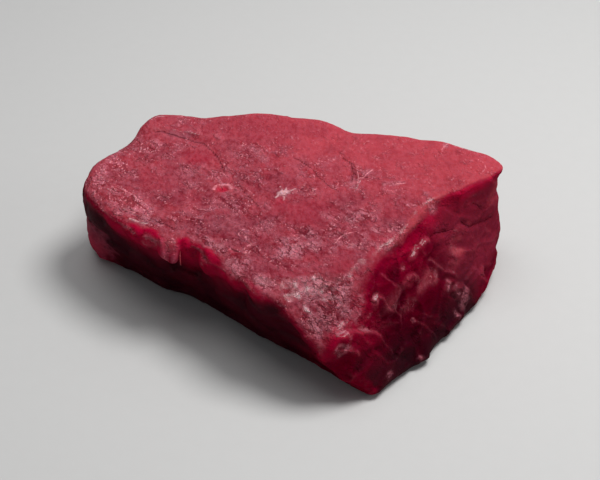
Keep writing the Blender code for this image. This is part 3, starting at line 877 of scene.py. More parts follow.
def face_marks() -> tuple[Mark, ...]:
    """The folds, creases and veins that the photograph shows on the front right side.

    A fold's path runs from left to right over its upper edge, and the fold bulges below it.
    """
    crease, vein, ledge, face = Trace.CREASE, Trace.VEIN, Trace.LEDGE, Plane.FACE
    return (
        Mark(ledge, face, ((9.9, -43.7, 21.0), (12.1, -42.3, 21.8), (15.3, -40.2, 21.1), (18.6, -38.4, 19.7), (21.4, -37.1, 18.1), (23.9, -36.0, 15.5), (25.4, -36.8, 13.0)), 0.6, 0.9, 4.5),
        Mark(ledge, face, ((11.5, -45.4, 16.6), (12.9, -44.3, 18.2), (15.0, -43.0, 17.9), (17.0, -42.7, 16.1), (18.6, -43.1, 13.5)), 0.6, 0.8, 3.2),
        Mark(ledge, face, ((20.8, -33.7, 22.0), (21.7, -31.3, 24.1), (22.8, -29.6, 25.1), (24.5, -29.5, 23.6), (25.9, -30.1, 21.2), (28.2, -29.9, 18.1)), 0.6, 0.8, 4.0),
        Mark(ledge, face, ((29.4, -23.8, 21.6), (30.9, -21.9, 23.3), (32.6, -19.8, 23.5), (34.7, -18.8, 21.7), (35.6, -19.6, 19.4)), 0.45, 0.6, 2.6),
        Mark(ledge, face, ((23.1, -25.1, 29.1), (25.1, -24.6, 26.8), (27.4, -24.3, 24.0), (29.4, -23.8, 22.4)), 0.4, 0.5, 3.0),
        Mark(ledge, face, ((30.6, -17.6, 26.4), (32.7, -15.2, 27.0), (34.8, -13.0, 27.6), (36.9, -10.6, 28.3), (38.7, -8.7, 27.7)), 0.7, 0.8, 4.0),
        Mark(ledge, face, ((36.6, -14.3, 22.9), (38.5, -12.0, 22.4), (40.6, -11.6, 19.9), (42.8, -11.1, 17.2), (46.2, -9.8, 15.3), (48.1, -9.8, 12.6)), 0.35, 0.6, 5.0),
        Mark(ledge, face, ((43.4, -14.5, 10.4), (44.4, -13.5, 11.7), (46.3, -11.6, 11.9), (48.8, -10.1, 11.0), (50.8, -9.4, 7.3), (51.9, -9.8, 4.5)), 0.8, 1.0, 5.0),
        Mark(ledge, face, ((41.0, -16.6, 11.8), (42.0, -14.8, 13.7), (43.4, -12.6, 14.2), (44.9, -12.0, 12.6)), 0.6, 0.6, 3.2),
        Mark(ledge, face, ((48.5, -10.4, 11.0), (50.4, -7.3, 11.9), (52.8, -3.4, 11.4), (55.1, -2.6, 8.9), (57.3, 0.1, 4.3)), 0.4, 0.7, 4.0),
        Mark(ledge, face, ((31.8, -29.5, 12.0), (33.6, -27.2, 12.9), (36.6, -25.5, 9.8), (39.1, -25.0, 6.5), (41.0, -25.1, 2.8)), 0.3, 0.5, 5.0),
        Mark(ledge, face, ((38.2, -24.2, 8.4), (40.4, -22.8, 7.6), (42.9, -20.9, 5.0), (44.6, -20.0, 2.0)), 0.25, 0.4, 4.0),
        Mark(ledge, face, ((33.1, -34.3, 1.6), (35.1, -32.7, 3.5), (37.5, -31.2, 3.1), (38.7, -29.5, 1.6)), 0.5, 0.6, 2.2),
        Mark(ledge, face, ((22.2, -36.3, 18.0), (24.8, -36.8, 13.9), (27.1, -36.8, 10.7), (28.9, -36.3, 6.4)), 0.25, 0.4, 5.0),
        Mark(ledge, face, ((27.0, -29.5, 20.3), (29.4, -28.9, 16.4), (30.3, -30.2, 13.5)), 0.25, 0.4, 4.0),
        Mark(ledge, face, ((52.6, -4.6, 7.0), (54.6, -3.2, 9.6), (56.0, -2.0, 10.4), (57.4, -0.8, 8.6)), 0.6, 0.6, 2.4),
        Mark(crease, face, ((38.4, -8.9, 27.6), (40.9, -6.1, 26.6), (43.7, -3.9, 25.3), (45.6, -2.8, 25.0)), 0.45, -0.45),
        Mark(vein, face, ((45.6, -2.9, 25.3), (46.8, -2.2, 24.6)), 0.7, 0.3),
        Mark(vein, face, ((46.2, -3.7, 23.4), (46.5, -5.4, 19.8), (46.5, -7.5, 17.4)), 0.22, 0.05),
        Mark(crease, face, ((48.5, -0.4, 26.0), (50.7, 0.0, 23.9), (54.1, 3.6, 22.2), (57.8, 6.9, 21.4)), 0.5, -0.5),
        Mark(crease, face, ((50.7, 2.5, 30.2), (52.4, 3.5, 29.1), (53.7, 4.3, 27.8)), 0.45, -0.45),
        Mark(crease, face, ((54.2, -3.6, 8.6), (55.8, -2.3, 6.4), (57.4, -0.4, 7.4)), 0.6, -0.7),
    )


def rim_lobes() -> tuple[Lobe, ...]:
    """The soft lobes that break the rim and the left corner."""
    return (
        Lobe(-34.3, -14.0, 28.0, 2.7, 3.2, 2.1),
        Lobe(-33.1, -15.2, 25.2, 1.7, 3.2, 2.2),
        Lobe(-44.6, -6.6, 29.0, 3.2, 1.8, 0.8),
        Lobe(-38.6, -9.6, 29.6, 3.0, 2.2, 0.9),
        Lobe(-39.5, -11.6, 26.6, 3.6, 1.8, 0.7),
        Lobe(-28.6, -14.2, 27.4, 2.2, 4.2, 0.6),
        Lobe(-23.4, -19.4, 27.2, 2.8, 4.6, 1.1),
        Lobe(-16.0, -27.0, 26.6, 3.4, 4.0, 1.1),
        Lobe(-9.6, -34.0, 27.0, 3.0, 3.0, 0.8),
        Lobe(-59.0, 11.0, 8.0, 4.2, 5.5, 0.8),
        Lobe(-57.5, 6.5, 22.0, 4.5, 4.0, 0.6),
    )


def looks() -> tuple[Patch, ...]:
    """The places that are wet with painted glints, calm, dull, red, pink or with a painted sheen, as the photograph
    shows them.
    """
    wet, calm, mauve, red, pink, sheen = Look.WET, Look.CALM, Look.MAUVE, Look.RED, Look.PINK, Look.SHEEN
    return (
        Patch(wet, 3.4, -12.2, 32.1, 5.4, 2.7, -30.0, 0.9),
        Patch(wet, -0.7, -19.3, 31.6, 5.6, 5.8, 0.0, 1.0),
        Patch(wet, 5.5, -18.4, 31.9, 2.8, 3.4, 0.0, 0.9),
        Patch(wet, 6.3, -30.5, 30.2, 3.3, 2.7, -30.0, 0.9),
        Patch(wet, 13.5, -31.3, 30.2, 3.2, 2.4, -15.0, 0.8),
        Patch(wet, 8.6, -34.2, 28.6, 14.1, 4.3, -12.0, 0.9),
        Patch(wet, 11.3, -37.9, 25.9, 7.9, 5.8, -42.0, 1.0),
        Patch(wet, 5.2, -39.9, 24.8, 6.8, 2.2, -56.0, 1.0),
        Patch(wet, 18.2, -6.0, 33.1, 4.3, 3.4, 0.0, 0.8),
        Patch(wet, 23.0, -12.2, 33.2, 2.5, 1.2, -42.0, 0.8),
        Patch(wet, 20.1, -14.7, 32.8, 1.5, 2.4, 0.0, 0.6),
        Patch(wet, 15.9, -18.4, 32.2, 2.2, 1.5, 0.0, 0.8),
        Patch(wet, 19.4, -18.6, 32.4, 1.2, 1.9, 0.0, 0.6),
        Patch(wet, 27.1, -17.9, 31.8, 3.0, 2.2, 30.0, 0.6),
        Patch(wet, 39.0, -2.5, 33.9, 1.9, 2.9, 0.0, 0.9),
        Patch(wet, 10.4, -5.8, 32.9, 3.1, 2.9, 0.0, 0.5),
        Patch(wet, -8.7, -31.3, 30.2, 4.3, 3.3, -42.0, 0.8),
        Patch(wet, -15.1, -23.8, 30.1, 5.1, 3.7, -42.0, 0.7),
        Patch(sheen, -44.9, 1.5, 30.7, 7.4, 4.5, -30.0, 0.95),
        Patch(wet, -40.1, -5.8, 30.4, 5.8, 2.8, -23.0, 0.8),
        Patch(sheen, -51.0, 6.0, 30.8, 3.0, 4.4, 0.0, 0.9),
        Patch(sheen, -43.3, 27.5, 32.0, 4.4, 4.4, 0.0, 0.9),
        Patch(sheen, -50.1, 27.0, 31.3, 4.7, 4.5, 30.0, 0.7),
        Patch(sheen, -56.2, 13.8, 30.9, 3.0, 7.4, 0.0, 1.0),
        Patch(sheen, -52.0, 20.0, 31.0, 3.4, 6.6, 30.0, 0.8),
        Patch(wet, -22.2, -16.3, 30.9, 5.5, 2.7, -53.0, 0.9),
        Patch(wet, -30.1, 16.1, 32.1, 5.6, 3.9, 0.0, 0.4),
        Patch(wet, -12.7, 21.0, 33.9, 6.2, 4.8, 0.0, 0.5),
        Patch(wet, -17.9, 2.3, 31.9, 5.1, 4.1, -42.0, 0.6),
        Patch(wet, 17.7, 7.9, 34.0, 2.5, 4.4, 0.0, 0.5),
        Patch(wet, 20.7, 11.4, 34.6, 2.6, 1.8, 23.0, 0.5),
        Patch(wet, 29.1, 6.5, 34.8, 4.3, 1.5, 0.0, 0.6),
        Patch(wet, 37.2, 1.0, 35.1, 1.5, 1.5, 0.0, 0.6),
        Patch(wet, 44.7, 21.8, 36.9, 1.2, 1.9, 0.0, 0.7),
        Patch(wet, 47.8, 17.9, 37.3, 1.4, 0.8, -42.0, 0.7),
        Patch(wet, 51.5, 19.0, 37.8, 3.0, 0.9, -15.0, 0.7),
        Patch(calm, 4.8, -4.2, 32.7, 9.3, 6.8, 0.0, 1.0),
        Patch(calm, -2.2, -1.6, 32.8, 5.6, 4.4, 0.0, 1.0),
        Patch(calm, 12.8, -24.8, 32.0, 6.2, 5.8, 0.0, 0.9),
        Patch(calm, 2.0, -28.1, 31.0, 9.3, 2.9, 0.0, 0.7),
        Patch(calm, -38.5, 11.8, 31.8, 7.7, 7.7, 0.0, 0.6),
        Patch(calm, -27.5, 22.5, 32.8, 5.6, 3.9, 0.0, 0.8),
        Patch(calm, -30.8, 3.2, 31.2, 5.0, 4.8, 0.0, 0.5),
        Patch(calm, 22.3, -22.7, 31.0, 4.3, 3.9, 0.0, 0.9),
        Patch(calm, 23.9, -14.8, 33.1, 4.3, 2.9, 0.0, 0.6),
        Patch(calm, 28.5, -4.9, 34.0, 6.2, 4.8, 0.0, 0.6),
        Patch(calm, -10.0, 33.0, 34.4, 24.0, 6.0, -4.0, 0.6),
        Patch(mauve, -18.1, -7.9, 31.4, 7.4, 3.9, 0.0, 0.7),
        Patch(mauve, -31.0, 12.5, 31.8, 7.0, 3.5, -10.0, 0.5),
        Patch(mauve, -34.7, 33.4, 32.5, 5.6, 1.9, -9.0, 0.9),
        Patch(mauve, -15.7, 23.6, 33.8, 6.2, 3.9, 0.0, 0.4),
        Patch(mauve, 2.0, 17.0, 34.0, 4.6, 3.9, 0.0, 0.4),
        Patch(mauve, 17.3, -6.4, 33.1, 4.3, 2.9, 0.0, 0.4),
        Patch(red, -42.6, -8.4, 30.0, 4.4, 1.2, -22.0, 1.0),
        Patch(red, -42.3, -1.9, 30.5, 2.4, 0.9, -50.0, 0.9),
        Patch(red, -45.0, -1.6, 30.5, 2.4, 0.8, -30.0, 0.6),
        Patch(red, -27.0, 19.5, 32.7, 4.5, 3.0, -20.0, 0.35),
        Patch(red, -3.5, 1.0, 32.6, 3.0, 1.6, 0.0, 0.45),
        Patch(red, -16.2, -19.0, 30.7, 1.8, 1.0, -20.0, 0.6),
        Patch(red, 24.0, -18.0, 31.9, 5.0, 2.6, 30.0, 0.35),
        Patch(pink, -35.6, -15.2, 27.8, 1.3, 4.6, 0.0, 1.0),
        Patch(pink, -32.6, -15.8, 26.6, 1.1, 5.0, 0.0, 0.9),
        Patch(pink, -33.9, -15.6, 29.2, 2.6, 2.0, 0.0, 0.8),
        Patch(pink, -60.0, 11.0, 10.0, 8.0, 14.0, 0.0, 0.38),
        Patch(wet, -34.6, -14.8, 29.6, 1.6, 1.4, 0.0, 0.8),
        Patch(wet, -24.4, -20.4, 28.6, 1.3, 1.6, 0.0, 0.45),
        Patch(wet, 43.8, -13.5, 12.8, 1.6, 2.2, 0.0, 0.9),
        Patch(wet, 46.9, -12.4, 10.0, 1.8, 2.6, 0.0, 1.0),
        Patch(wet, 48.8, -11.6, 7.4, 2.0, 3.6, 0.0, 0.8),
        Patch(wet, 46.7, -16.2, 4.5, 2.2, 1.0, 0.0, 0.8),
        Patch(wet, 36.8, -11.2, 27.5, 2.4, 0.8, 40.0, 0.28),
        Patch(wet, 33.6, -14.3, 27.2, 2.2, 0.7, 30.0, 0.28),
        Patch(wet, 30.0, -19.6, 26.0, 1.0, 1.4, 0.0, 0.5),
        Patch(wet, 22.0, -31.0, 23.6, 1.2, 2.4, 0.0, 0.9),
        Patch(wet, 13.6, -41.4, 21.5, 4.2, 1.0, 30.0, 1.0),
        Patch(wet, 19.6, -38.0, 19.0, 3.2, 0.9, 26.0, 0.9),
        Patch(wet, 13.2, -44.3, 18.1, 2.4, 1.0, 26.0, 1.0),
        Patch(wet, 15.3, -44.1, 15.2, 1.2, 0.7, 30.0, 0.5),
        Patch(wet, 33.3, -27.4, 13.0, 0.9, 0.6, 40.0, 0.45),
        Patch(wet, 26.3, -40.7, 4.6, 1.6, 0.9, 40.0, 0.5),
        Patch(wet, 35.6, -32.6, 3.2, 1.5, 0.7, 30.0, 0.5),
        Patch(wet, -39.4, -12.4, 28.2, 2.8, 1.3, -30.0, 0.85),
    )


@dataclass
class SteakSkin:
    """The visible skin of the whole steak."""

    node: str = "steak"
    name: str = "steak_skin"
    voxel: float = 0.57
    merge: float = 0.01
    softenings: int = 4
    thickness: float = 32.8
    rise_right: float = 0.052
    rise_back: float = 0.062
    nose: tuple[float, float] = (8.2, -46.6)
    nose_reach: float = 24.0
    nose_drop: float = 12.5
    seam_fill: float = 0.30
    seam_width: float = 1.3
    fold: float = 0.65
    fine_fold: float = 0.30
    ring_at: tuple[float, float] = (-20.2, 7.3)
    ring_size: tuple[float, float] = (2.1, 1.7)
    border: tuple[tuple[float, float], ...] = (
        (62.0, 10.5),
        (58.5, 8.0),
        (53.1, 5.2),
        (47.2, 2.2),
        (41.4, -0.4),
        (38.7, -3.2),
        (35.4, -7.4),
        (32.4, -11.6),
        (29.5, -15.3),
        (26.0, -19.0),
        (23.2, -22.0),
        (20.9, -25.2),
        (18.6, -29.2),
        (17.5, -32.0),
        (15.6, -35.4),
        (12.6, -39.4),
        (9.1, -42.4),
        (7.2, -45.2),
        (3.3, -42.6),
        (0.7, -40.5),
        (-2.0, -38.2),
        (-4.6, -36.3),
        (-7.3, -34.6),
        (-10.0, -32.2),
        (-11.8, -29.5),
        (-15.5, -26.1),
        (-18.4, -23.0),
        (-21.2, -19.8),
        (-24.1, -16.7),
        (-26.6, -15.4),
        (-29.2, -13.4),
        (-31.2, -13.0),
        (-32.4, -15.6),
        (-34.6, -15.8),
        (-36.2, -12.6),
        (-37.4, -10.6),
        (-39.7, -9.5),
        (-42.6, -8.6),
        (-45.6, -6.4),
        (-48.7, -3.2),
        (-51.8, -0.9),
        (-55.5, 2.0),
        (-60.0, 5.5),
    )
    bundles: Bundles = field(default_factory=Bundles)
    strands: Bundles = field(default_factory=lambda: Bundles(face=(), size=5.2, seed=5, wander=1.6, wander_length=4.5))

    def build(self, material: bpy.types.Material) -> bpy.types.Object:
        """Makes the skin, carves it and dresses it.

        Args:
            material: the muscle finish.

        Returns:
            The finished object.
        """
        skin = self._copy()
        self._refine(skin)
        self._carve(skin)
        make_active(skin)
        bpy.ops.object.shade_smooth()
        skin.data.materials.clear()
        skin.data.materials.append(material)
        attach(skin, "root")
        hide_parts(self.node)
        LOG.info("%s: %d faces", skin.name, len(skin.data.polygons))
        return skin

    def _copy(self) -> bpy.types.Object:
        """A copy of the solid's mesh with its loose triangles merged.

        Returns:
            The copy, as an object at the origin.
        """
        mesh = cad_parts[self.node].data.copy()
        skin = bpy.data.objects.new(self.name, mesh)
        bpy.context.scene.collection.objects.link(skin)
        make_active(skin)
        bpy.ops.object.mode_set(mode="EDIT")
        bpy.ops.mesh.select_all(action="SELECT")
        bpy.ops.mesh.remove_doubles(threshold=self.merge * MM)
        bpy.ops.object.mode_set(mode="OBJECT")
        return skin

    def _refine(self, skin: bpy.types.Object) -> None:
        """Gives the skin an even fine mesh and softens the solid's facets.

        Args:
            skin: the merged copy.
        """
        apply_modifier(skin, "SUBSURF", levels=1, render_levels=1)
        voxel = self.voxel * 1.0
        apply_modifier(skin, "REMESH", mode="VOXEL", voxel_size=voxel * MM, use_smooth_shade=True)
        apply_modifier(skin, "SMOOTH", factor=0.5, iterations=self.softenings)

    def _carve(self, skin: bpy.types.Object) -> None:
        """Moves the vertices for seams, creases and grain, and stores what the finish reads.

        Args:
            skin: the fine mesh.
        """
        mesh = skin.data
        count = len(mesh.vertices)
        flat = np.empty(count * 3, np.float32)
        mesh.vertices.foreach_get("co", flat)
        place = flat.reshape(-1, 3).astype(float) / MM
        mesh.vertices.foreach_get("normal", flat)
        normal = flat.reshape(-1, 3).astype(float)

        top = self._top_share(place, normal)
        foot = smooth_step(0.0, 3.0, place[:, 2])
        side = (1.0 - top) * foot
        gap, tone, fold, ledge = self.bundles.read(place)
        _, fine_tone, fine_fold, fine_ledge = self.strands.read(place)
        crease, vein, streak, lift, lit = self._marks(place, normal, top)
        smooth = self._smoothness(place)

        push = side * self.seam_fill * np.exp(-((gap / self.seam_width) ** 2))
        folded = side * (0.45 + 0.55 * smooth_step(30.0, 22.0, place[:, 2] - 0.12 * place[:, 0]))
        push += folded * (self.fold * fold + self.fine_fold * fine_fold)
        push += side * 0.06 * noise_at(place, 1.6, 5.0)
        rough = 1.0 - 0.65 * smooth
        pebble = 0.30 * noise_at(place, 3.4, 2.0) + 0.16 * noise_at(place, 1.6, 8.0)
        push += top * foot * rough * pebble
        push += top * (0.26 * noise_at(place, 9.0, 4.0) + 0.16 * rough * noise_at(place, 5.0, 14.0))
        edge = np.exp(-((self._below_rim(place) / 2.2) ** 2)) * foot
        push += edge * side * (0.35 * noise_at(place, 3.6, 1.5) + 0.18 * noise_at(place, 1.4, 3.5))
        push += lift * foot + self._ring(place) * top + self._lobes(place) * foot * (1.0 - 0.6 * top)
        eye = self._eye(place)
        ridge, near = self._border_edge(place, normal)
        # painted red glow in a band just under the ridge, joined to the rim's glow
        under = 0.40 * near * np.exp(-(((ridge + 2.4) / 2.4) ** 2)) * smooth_step(20.0, 30.0, place[:, 0])
        under *= np.clip(0.75 + 0.6 * noise_at(place, 4.0, 17.0), 0.0, 1.0) * (1.0 - 0.6 * smooth_step(46.0, 54.0, place[:, 0]))

        place += normal * push[:, None]
        place[:, 2] = np.maximum(place[:, 2], 0.0)
        low, high = (np.array(corner) / MM for corner in SOLID_BOX)
        place = np.clip(place, low - 0.4, high + 0.4)
        place[:, 2] = np.maximum(place[:, 2], 0.0)
        mesh.vertices.foreach_set("co", (place * MM).astype(np.float32).ravel())
        mesh.update()

        stored = {
            "cut_top": top,
            "smooth_cut": smooth,
            "wet_glint_patch": self._patches(place, Look.WET),
            "calm_cut": self._patches(place, Look.CALM),
            "mauve_cut": self._patches(place, Look.MAUVE),
            "sheen_cut": self._patches(place, Look.SHEEN),
            "red_cut": self._patches(place, Look.RED),
            "pink_side": self._patches(place, Look.PINK) * (1.0 - top),
            "red_eye": eye[0],
            # painted highlight in a band along the ridge
            "ridge_highlight_band": near * np.exp(-(((ridge - 1.0) / 2.0) ** 2)) * smooth_step(22.0, 34.0, place[:, 0]),
            "streak_gap": np.minimum(streak, eye[1]),
            "painted_rim_glow": np.maximum(self._rim_glow(place, normal), under) * (1.0 - top),
            # random bundle tone, with painted shade where folds sink back and painted glow at the nose and the upper
            # part
            "bundle_tone_and_shade": np.clip(
                0.22 * tone + 0.12 * fine_tone + 0.25 * fold + self._painted_glow(place) + 0.25 * noise_at(place, 7.0, 6.0), 0.0, 1.0
            ),
            "shaded_side": self._shaded(place, normal) * (1.0 - top),
            # painted highlight along the upper edges of the folds
            "fold_ledge_highlight": np.clip(
                np.maximum((0.6 * ledge + 0.35 * fine_ledge) * (0.35 + 1.1 * noise_at(place, 5.5, 13.0)), lit), 0.0, 1.0
            ),
            "dusty_side": self._dusty(place) * (1.0 - top),
            "crease_gap": crease,
            "vein_gap": vein,
            "mottle": self._mottle(place),
        }
        for name, values in stored.items():
            layer = mesh.attributes.new(name, "FLOAT", "POINT")
            layer.data.foreach_set("value", values.astype(np.float32))

    def _top_share(self, place: np.ndarray, normal: np.ndarray) -> np.ndarray:
        """How much each place belongs to the top cut.

        Args:
            place: one point a row, in millimetres.
            normal: the normal at each point.

        Returns:
            0 to 1 for each point, with a crisp edge along the ridge of the right side.
        """
        top = smooth_step(0.36, 0.64, normal[:, 2] + 0.10 * noise_at(place, 2.2, 31.0))
        top *= smooth_step(15.0, 19.0, place[:, 2] + 1.5 * noise_at(place, 3.0, 30.0))
        edge, near = self._border_edge(place, normal)
        return top * (1.0 - near) + smooth_step(-1.0, 1.0, edge) * near

    def _border_edge(self, place: np.ndarray, normal: np.ndarray) -> tuple[np.ndarray, np.ndarray]:
        """The signed way to the line that parts the top from the front sides.

        Args:
            place: one point a row, in millimetres.
            normal: the normal at each point.

        Returns:
            The way to the line in widths of its edge, more than 0 on the top, and
            how near the line each point is, from 0 to 1.
        """
        gap, inside, _ = distance_to_line(place[:, :2], np.array(self.border))
        side = np.where(inside, gap, -gap) + 0.5 * noise_at(place, 2.4, 33.0) + 0.8 * noise_at(place, 7.0, 34.0)
        width = 0.5 + 1.8 * smooth_step(27.0, 17.0, place[:, 0]) * smooth_step(2.0, 12.0, place[:, 0])
        width += 0.3 * smooth_step(2.0, -6.0, place[:, 0])
        near = smooth_step(9.0, 5.0, gap) * smooth_step(-0.2, 0.2, normal[:, 2])
        near *= smooth_step(0.0, 0.3, normal[:, 0] - 0.35 * normal[:, 1] + 0.6 * normal[:, 2])
        near *= smooth_step(12.0, 6.0, self._below_rim(place) - 8.0 * smooth_step(50.0, 40.0, place[:, 0]))
        return side / width, near

    def _rim_height(self, place: np.ndarray) -> np.ndarray:
        """The height of the top cut over each place.

        Args:
            place: one point a row, in millimetres.

        Returns:
            One height for each point.
        """
        height = self.thickness + self.rise_right * place[:, 0] + self.rise_back * place[:, 1]
        far = np.hypot(place[:, 0] - self.nose[0], place[:, 1] - self.nose[1])
        return height - self.nose_drop * np.maximum(0.0, 1.0 - far / self.nose_reach) ** 2

    def _below_rim(self, place: np.ndarray) -> np.ndarray:
        """How far each place is under the top cut."""
        return self._rim_height(place) - place[:, 2]

    def _rim_glow(self, place: np.ndarray, normal: np.ndarray) -> np.ndarray:
        """Where the edge under the rim gets a painted red glow, standing in for light through the thin tissue.

        Args:
            place: one point a row, in millimetres.
            normal: the normal at each point.

        Returns:
            0 to 1 for each point.
        """
        below = self._below_rim(place)
        reach = 2.6 + 1.6 * noise_at(place * np.array((1.0, 1.0, 0.2)), 6.0, 7.7)
        for middle, width, more in ((-42.0, 8.0, 4.0), (-29.0, 4.0, 5.0), (-19.0, 6.0, 5.0)):
            reach = reach + more * np.exp(-(((place[:, 0] - middle) / width) ** 2))
        glow = np.exp(-((below / np.maximum(reach, 0.8)) ** 2))
        glow *= 1.0 - 0.6 * smooth_step(0.3, 0.7, normal[:, 0])
        glow *= 1.0 - 0.45 * smooth_step(0.45, 0.9, normal[:, 2])
        glow *= 1.0 - 0.45 * smooth_step(-6.0, 4.0, place[:, 0]) * smooth_step(24.0, 16.0, place[:, 0])
        corner = np.hypot(place[:, 0] + 60.0, place[:, 1] - 12.0) / 6.0
        glow = np.maximum(glow, 0.7 * np.exp(-(corner**2)) * smooth_step(16.0, 8.0, place[:, 2]))
        return np.clip(glow * (0.80 + 0.35 * noise_at(place, 3.0, 2.2)), 0.0, 1.0)

    def _along_face(self, place: np.ndarray) -> np.ndarray:
        """How far each place is along the front right side, from the nose."""
        start, end = np.array(self.bundles.face_from), np.array(self.bundles.face_to)
        return (place[:, :2] - start) @ (end - start) / np.linalg.norm(end - start)

    def _dusty(self, place: np.ndarray) -> np.ndarray:
        """Where the side is duller and greyer: the upper part to the right.

        Args:
            place: one point a row, in millimetres.

        Returns:
            0 to 1 for each point.
        """
        run = self._along_face(place) + 3.0 * noise_at(place, 8.0, 15.0)
        return smooth_step(30.0, 44.0, run) * smooth_step(3.0, 12.0, place[:, 2])

    def _painted_glow(self, place: np.ndarray) -> np.ndarray:
        """How light the crimson of the side is, as painted glow and shade: most at the nose and the upper part, lighter
        to the right, darker low down.

        Args:
            place: one point a row, in millimetres.

        Returns:
            About 0 to 1 for each point.
        """
        run = self._along_face(place)
        nose = smooth_step(9.0, -3.0, run)
        high = smooth_step(10.0, 32.0, place[:, 2])
        right = smooth_step(34.0, 48.0, run)
        return -0.06 + 0.50 * nose + 0.42 * high + 0.30 * right

    def _shaded(self, place: np.ndarray, normal: np.ndarray) -> np.ndarray:
        """Where painted shade darkens the side most: the front left side, and the low part of the right side.

        Args:
            place: one point a row, in millimetres.
            normal: the normal at each point.

        Returns:
            0 to 1 for each point.
        """
        facing = smooth_step(0.25, 0.75, -0.55 * normal[:, 0] - 0.84 * normal[:, 1])
        left = 0.85 * facing * smooth_step(8.0, -8.0, place[:, 0] - 6.0)
        run = self._along_face(place)
        low = smooth_step(17.0, 3.0, place[:, 2] - 0.25 * np.abs(run - 20.0) + 2.0)
        return np.maximum(left, 0.78 * low * smooth_step(0.3, 0.6, normal[:, 0]) * smooth_step(52.0, 40.0, run))

    def _smoothness(self, place: np.ndarray) -> np.ndarray:
        """How smooth and pale the top is: most to the back and the right.

        Args:
            place: one point a row, in millimetres.

        Returns:
            0 to 1 for each point.
        """
        lean = 0.55 * place[:, 0] + 0.85 * place[:, 1] + 7.0 * noise_at(place, 13.0, 3.3)
        return smooth_step(2.0, 34.0, lean)

    def _mottle(self, place: np.ndarray) -> np.ndarray:
        """How light the top is: uneven, and darker to the front.

        Args:
            place: one point a row, in millimetres.

        Returns:
            0 to 1 for each point.
        """
        front = smooth_step(20.0, -24.0, place[:, 1])
        uneven = 0.55 * noise_at(place, 7.0, 9.0) + 0.45 * noise_at(place, 2.6, 4.4)
        return np.clip(0.66 + uneven - 0.42 * front, 0.0, 1.0)

    def _patches(self, place: np.ndarray, look: Look) -> np.ndarray:
        """How much each place has one look, from the patches with a ragged edge.

        Args:
            place: one point a row, in millimetres.
            look: which patches to read.

        Returns:
            0 to 1 for each point.
        """
        ragged = 0.40 * noise_at(place, 2.2, 11.0) + 0.30 * noise_at(place, 5.0, 12.0)
        share = np.zeros(len(place))
        for patch in looks():
            if patch.look is not look:
                continue
            turn = math.radians(patch.turn)
            run_x, run_y = place[:, 0] - patch.x, place[:, 1] - patch.y
            along = (run_x * math.cos(turn) + run_y * math.sin(turn)) / patch.reach_x
            across = (run_y * math.cos(turn) - run_x * math.sin(turn)) / patch.reach_y
            rise = (place[:, 2] - patch.z) / max(patch.reach_x, patch.reach_y)
            inside = 1.0 - np.sqrt(along**2 + across**2 + rise**2) + ragged
            share = np.maximum(share, patch.strength * smooth_step(-0.15, 0.55, inside))
        return share

    def _lobes(self, place: np.ndarray) -> np.ndarray:
        """The soft lobes of the rim, as a push in millimetres.

        Args:
            place: one point a row, in millimetres.

        Returns:
            One push for each point.
        """
        push = np.zeros(len(place))
        for lobe in rim_lobes():
            flat = np.hypot(place[:, 0] - lobe.x, place[:, 1] - lobe.y) / lobe.across
            far = np.hypot(flat, (place[:, 2] - lobe.z) / lobe.tall)
            push = np.maximum(push, lobe.lift * np.exp(-(far**4)))
        return push

    def _eye(self, place: np.ndarray) -> tuple[np.ndarray, np.ndarray]:
        """The red middle of the small ring and the gap to its far rim, which gets a painted highlight.

        Args:
            place: one point a row, in millimetres.

        Returns:
            0 to 1, and the gap, for each point.
        """
        run_x = (place[:, 0] - self.ring_at[0]) / self.ring_size[0]
        run_y = (place[:, 1] - self.ring_at[1]) / self.ring_size[1]
        radius = np.hypot(run_x, run_y)
        gap = 0.8 * np.abs(radius - 1.15) + np.maximum(0.0, -run_y - 0.2)
        return 0.9 * np.exp(-((radius / 0.85) ** 4)), gap

    def _ring(self, place: np.ndarray) -> np.ndarray:
        """The small oval dimple with a raised rim, as a push in millimetres.

        Args:
            place: one point a row, in millimetres.

        Returns:
            One push for each point.
        """
        radius = np.hypot(
            (place[:, 0] - self.ring_at[0]) / self.ring_size[0],
            (place[:, 1] - self.ring_at[1]) / self.ring_size[1],
        )
        return 0.26 * np.exp(-(((radius - 1.15) / 0.35) ** 2)) - 0.20 * np.exp(-((radius / 0.7) ** 2))

    def _marks(
        self, place: np.ndarray, normal: np.ndarray, top: np.ndarray
    ) -> tuple[np.ndarray, np.ndarray, np.ndarray, np.ndarray, np.ndarray]:
        """The way to the nearest crease, vein and streak, and what the marks do to the skin.

        Args:
            place: one point a row, in millimetres.
            normal: the normal at each point.
            top: how much each point belongs to the top cut.

        Returns:
            The gaps to a crease, a vein and a streak, the push, and how near the
            upper edge of a fold is.
        """
        bent = place.copy()
        for axis in range(3):
            bent[:, axis] += 0.45 * noise_at(place, 2.8, 20.0 + 3.0 * axis)
        start, end = np.array(self.bundles.face_from), np.array(self.bundles.face_to)
        way = (end - start) / np.linalg.norm(end - start)
        out = np.array((way[1], -way[0]))
        facing = smooth_step(0.2, 0.6, normal[:, 0] * out[0] + normal[:, 1] * out[1] + 0.4 * normal[:, 2])
        gaps = {trace: np.full(len(place), 9.0) for trace in (Trace.CREASE, Trace.VEIN, Trace.STREAK)}
        lift, lit = np.zeros(len(place)), np.zeros(len(place))
        for mark in top_marks() + face_marks():
            path = np.array(mark.path, float)
            if mark.plane is Plane.TOP:
                here, line, share = bent[:, :2], path[:, :2], top
            else:
                here = np.stack([(bent[:, :2] - start) @ way, bent[:, 2]], 1)
                line = np.stack([(path[:, :2] - start) @ way, path[:, 2]], 1)
                share = facing * (1.0 - top)
            gap, inside, run = distance_to_line(here, line)
            if mark.trace is Trace.LEDGE:
                fade = share * smooth_step(0.0, 0.2, run) * smooth_step(1.0, 0.8, run)
                deep = gap * np.where(inside, 1.0, -1.0)
